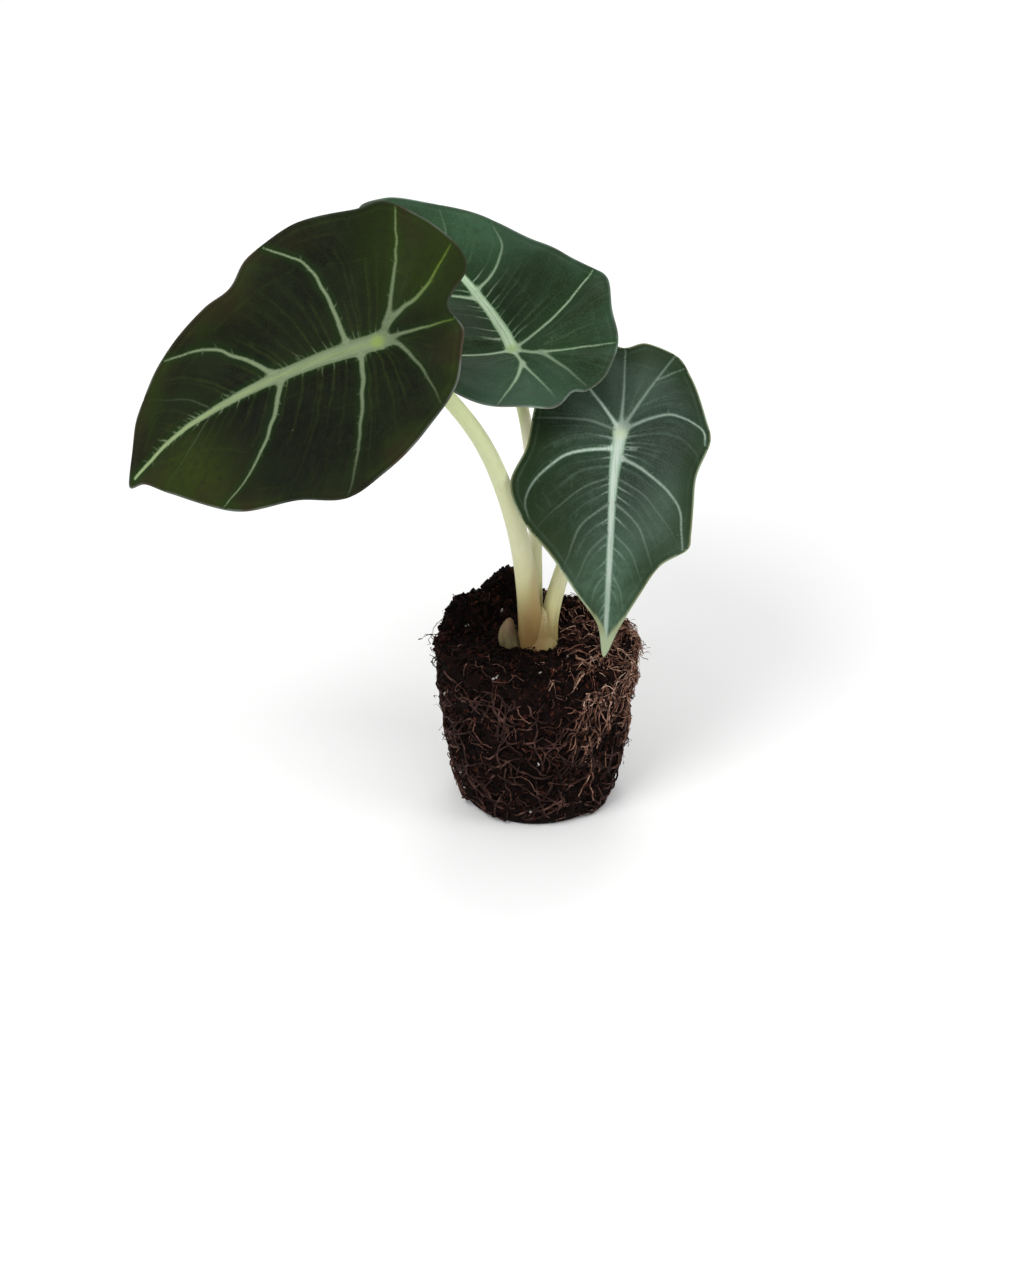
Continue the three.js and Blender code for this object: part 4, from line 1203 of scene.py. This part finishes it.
# %% Make the corm and its bud
def corm_radius(part, angles):
    """The radii of the corm, swollen in its middle, with fine rings and a slightly lobed crown."""
    base = np.interp(part, (0, 0.03, 0.2, 0.5, 0.8, 0.92, 1), (0.2, 3.0, 5.6, 6.5, 5.8, 4.0, 1.2))
    return base * (1 + 0.015 * np.sin(40 * part) + 0.03 * np.sin(3 * angles + 2) * part)


def bud_radius(part, angles):
    """The radii of the bud, with a lip that winds up it where its outer scale overlaps."""
    stops = (0, 0.05, 0.35, 0.55, 0.7, 0.85, 0.95, 1)
    base = 2.75 * np.interp(part, stops, (0.6, 0.85, 1, 0.93, 0.76, 0.52, 0.3, 0.05))
    overlap = np.angle(np.exp(1j * (angles - 4.2 - 1.5 * part)))
    lip = np.where(overlap > 0, np.exp(-overlap / 0.5), np.exp(overlap / 0.06))
    return base * (1 + 0.09 * lip * (1 - part * 0.5))


for name, path, radius_at, finish in (
    ("corm_crown", [(0.8, 0.8, 29.2), (0.6, 0.6, 37), (-1.6, -1, 43.6)], corm_radius, stem_finishes[0]),
    ("side_bud", [(-4.6, -1.6, 38), (-6.2, -2, 41.8), (-6.9, -2.1, 45.4), (-6.3, -1.9, 49.3)],
     bud_radius, stem_finishes[1]),
):
    piece = new_piece(name, *tube(smooth_line(path, 0.22), radius_at), [finish])
    stand_in(piece, "corm")


# %% [markdown]
# ## Root plug: the medium
# The plug is a block of peat and coir that kept the shape of its tray cell, so its big form is a
# tapered drum with lumps left standing on the rim. Real peat is crumbly at every scale. Displacement
# by texture would work on a dense drum too; here the crumbs are worked out in the script, since the
# roots must then lie on the same surface.

# %% The form of the plug
PLUG_HEIGHT, PLUG_TOP, PLUG_FOOT, PLUG_ROUNDING = 42, 24.5, 17.5, 2.5
# Each lump on the rim has a height, a place and a spread in degrees, a ring and a width.
CLODS = [(8.5, 108, 17, 20.5, 6), (5.5, 144, 20, 20, 6), (1.6, 45, 22, 20, 5)]
# The part of the steps over the top that goes round the rim.
RIM_PART = 0.25


def side_radius(z):
    """The plug's radius at a height: it widens quickly above its foot and then ever less."""
    return PLUG_FOOT + (PLUG_TOP - PLUG_FOOT) * (max(z, 0) / PLUG_HEIGHT) ** 0.5


def top_height(x, y):
    """The height of the plug's top, lumps and all, before it is crumbled."""
    radius, angle = math.hypot(x, y), math.degrees(math.atan2(y, x))
    lumps = (
        height * math.exp(-(((angle - place) / spread) ** 2) - ((radius - ring) / width) ** 2)
        for height, place, spread, ring, width in CLODS
    )
    return PLUG_HEIGHT + sum(lumps)


def crumble(x, y, z):
    """How far the medium stands out at a place: broad swells, crumbs of 2.6 and 1.3 mm, and grit."""
    broad = noise.noise((x / 6, y / 6, z / 6))
    cells, _ = noise.voronoi((x / 2.6, y / 2.6, z / 2.6))
    small, _ = noise.voronoi((x / 1.3, y / 1.3, z / 1.3))
    grit = noise.fractal((x / 1.1, y / 1.1, z / 1.1), 0.8, 2.2, 3)
    return 0.9 * broad + 0.8 * (cells[1] - cells[0]) + 0.45 * (small[1] - small[0]) + 0.35 * grit - 0.35


def plug_place(step, side_steps, top_steps, c, s):
    """The smooth plug at a step, in the direction (c, s): radius, height, and how much it faces up."""
    rim = side_radius(PLUG_HEIGHT) - PLUG_ROUNDING
    rim_height = top_height(rim * c, rim * s)
    if step < side_steps:
        z = step / (side_steps - 1) * (rim_height - PLUG_ROUNDING)
        return side_radius(z), z, 0.15
    part = (step - side_steps) / (top_steps - 1)
    if part < RIM_PART:
        swing = part / RIM_PART * math.pi / 2
        z = rim_height - PLUG_ROUNDING * (1 - math.sin(swing))
        return rim + PLUG_ROUNDING * math.cos(swing), z, math.sin(swing)
    radius = rim * (1 - part) / (1 - RIM_PART)
    return radius, top_height(radius * c, radius * s), 1


def plug_rings(sectors, side_steps, top_steps):
    """Rings of points from the flat bottom's edge up the side and over the top to its middle."""
    rings = []
    angles = np.arange(sectors) * 2 * math.pi / sectors
    for step in range(side_steps + top_steps):
        ring = []
        for angle in angles:
            c, s = math.cos(angle), math.sin(angle)
            radius, z, slope = plug_place(step, side_steps, top_steps, c, s)
            raised = ease(top_height(radius * c, radius * s) - PLUG_HEIGHT, 0.5, 4) * ease(z, 34, 41)
            out = crumble(radius * c, radius * s, z) * (1 + 0.5 * raised)
            ground = ease(z, 0, 3)
            # It is calmer near the stems, where the crumbs have settled.
            calm = 1 - 0.6 * math.exp(-((radius / 9) ** 2))
            if step == 0:
                out, ground = min(out, 0.2), 1
            across = radius + out * (1 - slope) * (0.3 + 0.7 * ground)
            z = z + out * slope * calm * (1 if step else 0)
            ring.append((across * c, across * s, max(0, z)))
        rings.append(ring)
    return rings


# %% Peat material
# Milled peat with coir dust: dull, nearly black when moist, with rusty and grey-brown crumbs. A
# crumb of 1.4 mm has one tone, and the dust on it a grain of 0.7 mm.
peat_finish, tree = new_finish("moist_peat", roughness=0.95, specular_ior_level=0.08)
own = add_node(tree, "ShaderNodeTexCoord", out="Object")
crumbs = add_node(tree, "ShaderNodeTexVoronoi", {"Vector": own, "Scale": 700}, "Color")
crumb_tone = add_node(tree, "ShaderNodeValToRGB", {"Fac": crumbs}, stops=(
    (0.1, "#0b0605"), (0.6, "#100706"), (0.82, "#1e0f0d"), (0.97, "#371e18"),
))
dust = add_node(tree, "ShaderNodeTexNoise", {"Vector": own, "Scale": 1400, "Detail": 3})
end_finish(tree, layered(tree, crumb_tone, [(dust, "#120a08")]), (dust, 0.6, 0.0004))

# %% Make the medium
rings = plug_rings(sectors=340, side_steps=116, top_steps=80)
skin = closed_skin((0, 0, 0), rings[:-1], (0, 0, top_height(0, 0)))
medium = new_piece("plug_medium", *skin, [peat_finish])
stand_in(medium, "root_plug")

# %% [markdown]
# ## Root net
# The roots grew round the wall of the tray cell, so they lie on the plug's side in long arcs, and
# their ends dive into the medium. Each route is a bare curve here, and a Geometry Nodes tree turns
# all of them into tubes: it resamples each curve, lets noise make it wander, thickens it, and sets
# its material. Changing one input then changes every root.

# %% Routes of the roots
def even_numbers(seed):
    """The same even random numbers as the CAD source draws, so that its roots are met."""
    state = seed
    while True:
        state = (state * 1664525 + 1013904223) & 0xFFFFFFFF
        yield state / 2**32


def root_route(start_angle, start_height, turn, rise, bow, depth, stops=26):
    """A root's route over the plug's side, with both ends `depth` down in the medium."""
    route = []
    for stop in range(stops + 1):
        part = stop / stops
        angle = start_angle + turn * part
        z = start_height + rise * part + bow * math.sin(math.pi * part)
        z = min(max(z, 1.5), PLUG_HEIGHT - 2.5)
        radius = side_radius(z) + 0.35 - depth * abs(2 * part - 1) ** 6
        route.append((radius * math.cos(angle), radius * math.sin(angle), z))
    return route


def curves_of(name, routes):
    """Bare curves along the routes, in metres, thinner towards both ends."""
    curves = bpy.data.curves.new(name, "CURVE")
    curves.dimensions = "3D"
    for route, size in routes:
        last = len(route) - 1
        spline = curves.splines.new("POLY")
        spline.points.add(last)
        spline.points.foreach_set("co", [c for x, y, z in route for c in (x * MM, y * MM, z * MM, 1)])
        radii = [size * (1 - 0.5 * abs(2 * k / last - 1)) for k in range(last + 1)]
        spline.points.foreach_set("radius", radii)
    print(name, len(routes))
    return curves


long_routes, rim_routes = [], []
draw = even_numbers(11)
for index in range(28):
    start = 2 * math.pi * ((0.7549 * index) % 1)
    low = PLUG_HEIGHT * (0.1 + 0.75 * ((0.5698 * index) % 1))
    turn = (0.6 + 0.8 * next(draw)) * (-1 if next(draw) < 0.5 else 1)
    rise = PLUG_HEIGHT * 0.7 * (next(draw) - 0.5)
    bow = PLUG_HEIGHT * 0.22 * (next(draw) - 0.5)
    long_routes.append((root_route(start, low, turn, rise, bow, 2.2), 1.15))
random = np.random.default_rng(21)
for index in range(300):  # finer side roots, in all directions
    start, low = random.uniform(0, 2 * math.pi), random.uniform(1, 40)
    turn, rise = random.uniform(-0.6, 0.6), random.uniform(-14, 14)
    route = root_route(start, low, turn, rise, random.uniform(-3, 3), random.uniform(0.3, 1.4), 18)
    long_routes.append((route, random.uniform(0.35, 0.9)))
# Their finish is paler, partly painted light for the brighter-lit right side.
for index in range(95):  # fresh roots down the right side, mostly upright
    start = random.uniform(-1.1, 1.3)
    route = root_route(start, random.uniform(22, 44), random.uniform(-0.3, 0.3),
                       random.uniform(-22, -6), random.uniform(-2, 2), random.uniform(-0.4, 1.4), 18)
    rim_routes.append((route, random.uniform(0.5, 1.5)))


# %% Root finishes
# Young roots are fleshy: dull tan and dark where peat sticks to them, and pinkish where fresh. The
# paler tones of the fresh roots are also painted light, for the brighter-lit right side where they
# lie. The stains are 4 mm long.
root_finishes = []
for name, tones in (
    ("old_roots", ("#130907", "#33201b", "#705048")), ("fresh_and_lit_roots", ("#34201a", "#7c5848", "#c8a28e")),
):
    finish, tree = new_finish(name, roughness=0.7, specular_ior_level=0.1)
    own = add_node(tree, "ShaderNodeTexCoord", out="Object")
    inputs = {"Vector": own, "Scale": 260, "Detail": 4, "Roughness": 0.65}
    stains = add_node(tree, "ShaderNodeTexNoise", inputs)
    stops = tuple(zip((0.34, 0.52, 0.72), tones))
    root_tone = add_node(tree, "ShaderNodeValToRGB", {"Fac": stains}, stops=stops)
    end_finish(tree, root_tone, (stains, 0.4, 0.0003))
    root_finishes.append(finish)


# %% Geometry Nodes helpers
def new_rule(name, sizes):
    """A Geometry Nodes tree with a geometry input, named size inputs and a geometry output."""
    rule = bpy.data.node_groups.new(name, "GeometryNodeTree")
    for way in ("INPUT", "OUTPUT"):
        rule.interface.new_socket("Geometry", in_out=way, socket_type="NodeSocketGeometry")
    for label, value in sizes.items():
        kind = "NodeSocketInt" if isinstance(value, int) else "NodeSocketFloat"
        rule.interface.new_socket(label, in_out="INPUT", socket_type=kind).default_value = value
    return rule, add_node(rule, "NodeGroupInput").node.outputs


def drifted(rule, geometry, scale, detail, reach):
    """Moves each point by a noise of `scale` swells per metre, by half of `reach` at most."""
    place = add_node(rule, "GeometryNodeInputPosition")
    inputs = {"Vector": place, "Scale": scale, "Detail": detail}
    drift = add_node(rule, "ShaderNodeTexNoise", inputs, "Color")
    centred = add_node(rule, "ShaderNodeVectorMath", {0: drift, 1: (0.5, 0.5, 0.5)}, operation="SUBTRACT")
    step = add_node(rule, "ShaderNodeVectorMath", {0: centred, "Scale": reach}, operation="SCALE")
    return add_node(rule, "GeometryNodeSetPosition", {"Geometry": geometry, "Offset": step})


def tube_round(rule, curve, sides, radius):
    """A capped tube of so many sides along a curve."""
    section = add_node(rule, "GeometryNodeCurvePrimitiveCircle", {"Resolution": sides, "Radius": radius})
    inputs = {"Curve": curve, "Profile Curve": section, "Fill Caps": True}
    return add_node(rule, "GeometryNodeCurveToMesh", inputs)


def end_rule(rule, geometry, finish, smooth):
    """Ends a rule: real geometry instead of instances, shading, material and output."""
    real = add_node(rule, "GeometryNodeRealizeInstances", {"Geometry": geometry})
    shaded = add_node(rule, "GeometryNodeSetShadeSmooth", {"Geometry": real, "Shade Smooth": smooth})
    coloured = add_node(rule, "GeometryNodeSetMaterial", {"Geometry": shaded, "Material": finish})
    add_node(rule, "NodeGroupOutput", {"Geometry": coloured})


def grow(name, data, rule, sizes):
    """Applies a rule to a curve or mesh and keeps the result as a plain mesh object."""
    source = bpy.data.objects.new(name + "_source", data)
    bpy.context.collection.objects.link(source)
    modifier = source.modifiers.new("rule", "NODES")
    modifier.node_group = rule
    for item in rule.interface.items_tree:
        if item.in_out == "INPUT" and item.name in sizes:
            modifier[item.identifier] = sizes[item.name]
    evaluated = source.evaluated_get(bpy.context.evaluated_depsgraph_get())
    mesh = bpy.data.meshes.new_from_object(evaluated)
    source.modifiers.remove(modifier)
    bpy.data.objects.remove(source)
    mesh.name = name
    places = np.empty(len(mesh.vertices) * 3, np.float32)
    mesh.vertices.foreach_get("co", places)
    places[2::3] = np.maximum(places[2::3], 0)  # nothing reaches below the ground
    mesh.vertices.foreach_set("co", places)
    piece = bpy.data.objects.new(name, mesh)
    bpy.context.collection.objects.link(piece)
    stand_in(piece, "root_plug")


# %% Rule of the root net
for name, routes, finish, radius in (
    ("plug_roots", long_routes, root_finishes[0], 0.00026),
    ("rim_roots", rim_routes, root_finishes[1], 0.00019),
):
    rule, given = new_rule(f"{name}_rule", {
        "Root radius": 0.0003, "Wander": 0.0035, "Wander size": 170.0, "Sides": 5,
    })
    even = {"Curve": given["Geometry"], "Length": 0.0009}
    line = add_node(rule, "GeometryNodeResampleCurve", even, mode="LENGTH")
    line = drifted(rule, line, given["Wander size"], 2.5, given["Wander"])
    end_rule(rule, tube_round(rule, line, given["Sides"], given["Root radius"]), finish, True)
    grow(name, curves_of(f"{name}_routes", routes), rule, {"Root radius": radius, "Wander": 0.004})


# %% [markdown]
# ## Loose crumbs, coir fibres and perlite
# Thousands of small things lie on the plug: crumbs of peat, short curved coir fibres and a few white
# grains of perlite. Points are strewn over a coarse copy of the plug's surface and a small shape
# is set on each, turned and sized at random. Noise then bends the whole lot a little, so that no
# two are alike.

# %% A light surface to strew on
bare_rings = plug_rings(sectors=90, side_steps=24, top_steps=18)
sectors = len(bare_rings[0])
bare_points = np.vstack(bare_rings)
bare_faces = [
    (low + s, low + (s + 1) % sectors, low + sectors + (s + 1) % sectors, low + sectors + s)
    for low in range(0, len(bare_points) - sectors, sectors) for s in range(sectors)
]
strew_ground = bpy.data.meshes.new("strew_ground")
strew_ground.from_pydata((bare_points * MM).tolist(), [], bare_faces)
x, y, z = bare_points.T
side = ease(z, 2, 9)
right_side = bump(np.arctan2(y, x), 0.1, 0.8) * ease(z, 20, 36)
lumpy = ease(z, 41.5, 44.5) + 0.12 * ease(z, 37, 40)
radius = np.hypot(x, y)
# How much of each kind lies where: crumbs all over, fibres more on the right, clods on the lumps,
# and pale fibres, partly dry and partly painted light, only on the right of the top.
for label, values in (
    ("strewn", side), ("hairy", side * (0.27 + 0.8 * right_side) * (1 - 0.8 * lumpy)), ("lumpy", lumpy),
    ("matted", right_side * (0.3 + 0.7 * ease(radius, 10, 20)) * ease(radius, 4, 9)),
):
    column = strew_ground.attributes.new(label, "FLOAT", "POINT")
    column.data.foreach_set("value", values.astype(np.float32))
print("strewing on", len(bare_faces), "faces")

# %% Rule that strews small shapes
def strewing_rule(name, finish, shape, density_name, smooth):
    """Strews a shape over a surface; `shape(rule)` makes the shape's own nodes."""
    rule, given = new_rule(name, {
        "Per square metre": 1000.0, "Size": 0.001, "Smallest": 0.5, "Tilt": 0.6, "Bend": 0.0, "Seed": 1,
    })
    here, seed = {"Name": density_name}, {"Seed": given["Seed"]}
    weight = add_node(rule, "GeometryNodeInputNamedAttribute", here, "Attribute", data_type="FLOAT")
    inputs = {0: weight, 1: given["Per square metre"]}
    density = add_node(rule, "ShaderNodeMath", inputs, operation="MULTIPLY")
    inputs = {"Mesh": given["Geometry"], "Density": density, **seed}
    spots = add_node(rule, "GeometryNodeDistributePointsOnFaces", inputs, "Points")
    # Each thing is turned any way about the surface's normal and leaned by up to the tilt.
    inputs = {0: (-1.0, -1.0, -math.pi), 1: (1.0, 1.0, math.pi), **seed}
    spin = add_node(rule, "FunctionNodeRandomValue", inputs, data_type="FLOAT_VECTOR")
    tilt = add_node(rule, "ShaderNodeCombineXYZ", {"X": given["Tilt"], "Y": given["Tilt"], "Z": 1.0})
    leaned = add_node(rule, "ShaderNodeVectorMath", {0: spin, 1: tilt}, operation="MULTIPLY")
    inputs = {"Rotation": spots.node.outputs["Rotation"], "Rotate By": leaned}
    facing = add_node(rule, "FunctionNodeRotateEuler", inputs, space="LOCAL")
    inputs = {0: given["Smallest"], 1: (1.0, 1.0, 0.8), **seed}
    spread = add_node(rule, "FunctionNodeRandomValue", inputs, data_type="FLOAT_VECTOR")
    size = add_node(rule, "ShaderNodeVectorMath", {0: spread, "Scale": given["Size"]}, operation="SCALE")
    placed = add_node(rule, "GeometryNodeInstanceOnPoints", {
        "Points": spots, "Instance": shape(rule), "Rotation": facing, "Scale": size,
    })
    tone = add_node(rule, "FunctionNodeRandomValue", {2: 0.0, 3: 1.0, **seed}, 1, data_type="FLOAT")
    inputs = {"Geometry": placed, "Name": "tone", "Value": tone}
    toned = add_node(rule, "GeometryNodeStoreNamedAttribute", inputs, data_type="FLOAT", domain="INSTANCE")
    real = add_node(rule, "GeometryNodeRealizeInstances", {"Geometry": toned})
    end_rule(rule, drifted(rule, real, 260.0, 1, given["Bend"]), finish, smooth)
    return rule


def crumb_shape(rule):
    """A small lump of about one unit, with 20 faces."""
    ball = add_node(rule, "GeometryNodeMeshIcoSphere", {"Radius": 0.5, "Subdivisions": 1})
    return drifted(rule, ball, 2.6, 2, 1.0)


def fibre_shape(rule):
    """A thin bowed fibre of about one unit, with 27 side faces."""
    bow = add_node(rule, "GeometryNodeCurveQuadraticBezier", {
        "Resolution": 9, "Start": (-0.5, 0, -0.06), "Middle": (0.05, 0.28, 0.22), "End": (0.5, -0.1, -0.02),
    })
    return tube_round(rule, bow, 3, 0.014)


# %% Finishes of the loose things
# Peat crumbs are dark with a few rusty ones; coir is tan, and straw-pale where it lies dry on top,
# a paleness that is partly painted light; perlite is off-white. What the eye gets is mostly how
# much one grain differs from the next, so each has one tone of its own, under mottles of 0.7 mm.
def toned_finish(name, colours, roughness):
    """A dull finish whose colour follows each grain's own tone."""
    material, tree = new_finish(name, roughness=roughness, specular_ior_level=0.08)
    tone = add_node(tree, "ShaderNodeAttribute", out="Fac", attribute_name="tone")
    last = len(colours) - 1
    stops = [((k / last) ** 0.7, colour) for k, colour in enumerate(colours)]
    grain_tone = add_node(tree, "ShaderNodeValToRGB", {"Fac": tone}, stops=stops)
    own = add_node(tree, "ShaderNodeTexCoord", out="Object")
    mottle = add_node(tree, "ShaderNodeTexNoise", {"Vector": own, "Scale": 1500, "Detail": 3})
    share = add_node(tree, "ShaderNodeMapRange", {0: mottle, 1: 0.4, 2: 0.8})
    end_finish(tree, layered(tree, grain_tone, [(share, colours[0])]), (mottle, 0.5, 0.0002))
    return material


crumb_finish = toned_finish("loose_peat", ("#060302", "#0c0605", "#150a08", "#22110e", "#452319"), 0.95)
fibre_finish = toned_finish("coir_fibre", ("#180c0a", "#331d17", "#50332a", "#8a6455"), 0.75)
# Painted light: the dry coir's pale tones also stand for the brighter light on the right of the top.
dry_and_lit_finish = toned_finish("dry_and_lit_coir", ("#5a382e", "#946a58", "#bd9680", "#e8c8b2"), 0.75)
perlite_finish = toned_finish("perlite", ("#8f8b82", "#b9b5ad", "#d2d0ca"), 0.85)

# %% Strew them
SIZE_NAMES = ("Per square metre", "Size", "Smallest", "Tilt", "Bend", "Seed")
for name, finish, shape, ground, smooth, sizes in (
    ("plug_crumbs", crumb_finish, crumb_shape, "strewn", False, (780000.0, 0.0016, 0.25, 1.5, 0.0009, 4)),
    ("plug_clods", crumb_finish, crumb_shape, "lumpy", False, (420000.0, 0.0024, 0.35, 1.5, 0.0018, 6)),
    ("plug_fibres", fibre_finish, fibre_shape, "hairy", True, (380000.0, 0.01, 0.3, 0.3, 0.006, 9)),
    ("plug_dry_and_lit_fibres", dry_and_lit_finish, fibre_shape, "matted", True,
     (1000000.0, 0.0095, 0.3, 0.35, 0.006, 12)),
    ("plug_perlite", perlite_finish, crumb_shape, "strewn", False, (3500.0, 0.0014, 0.5, 1.5, 0.0004, 15)),
):
    rule = strewing_rule(f"{name}_rule", finish, shape, ground, smooth)
    grow(name, strew_ground.copy(), rule, dict(zip(SIZE_NAMES, sizes)))


# %% [markdown]
# ## Studio
# A wide round floor in a pale neutral tone and a pale world keep the horizon far and faint. Three
# large soft lamps and the world's own light leave only soft shadows, as a picture box does.

# %% Floor, world and lamps
FLOOR_RADIUS, FLOOR_SIDES, FLOOR_LEVEL = 3500, 96, -0.05
LIT_PLACE = (-0.005, 0, 0.08)
floor_finish, _ = new_finish(
    "pale_studio_floor", base_color=paint("#fafaf9"), roughness=0.9, specular_ior_level=0.1,
)
angles = np.arange(FLOOR_SIDES) * 2 * math.pi / FLOOR_SIDES
rim = [(FLOOR_RADIUS * math.cos(a), FLOOR_RADIUS * math.sin(a), FLOOR_LEVEL) for a in angles]
floor = new_piece("studio_floor", rim, [list(range(FLOOR_SIDES))], [floor_finish])
world = bpy.data.worlds.new("pale_world")
bpy.context.scene.world = world
world.use_nodes = True
sky = world.node_tree.nodes["Background"].inputs
sky["Color"].default_value = paint("#f4f5f6")
sky["Strength"].default_value = 0.7
for name, at, size, power in (
    ("key_lamp", (-0.55, -0.75, 1.05), 0.7, 9), ("fill_lamp", (0.85, -0.35, 0.7), 0.6, 3),
    ("back_lamp", (0.1, 0.9, 0.9), 0.7, 3),
):
    lamp_data = bpy.data.lights.new(name, "AREA")
    lamp_data.shape, lamp_data.size, lamp_data.energy = "DISK", size, power
    lamp = bpy.data.objects.new(name, lamp_data)
    bpy.context.collection.objects.link(lamp)
    lamp.location = at
    lamp.rotation_euler = (Vector(LIT_PLACE) - Vector(at)).to_track_quat("-Z", "Y").to_euler()
bpy.context.scene.view_settings.view_transform = "Standard"
print("floor, world and three lamps")
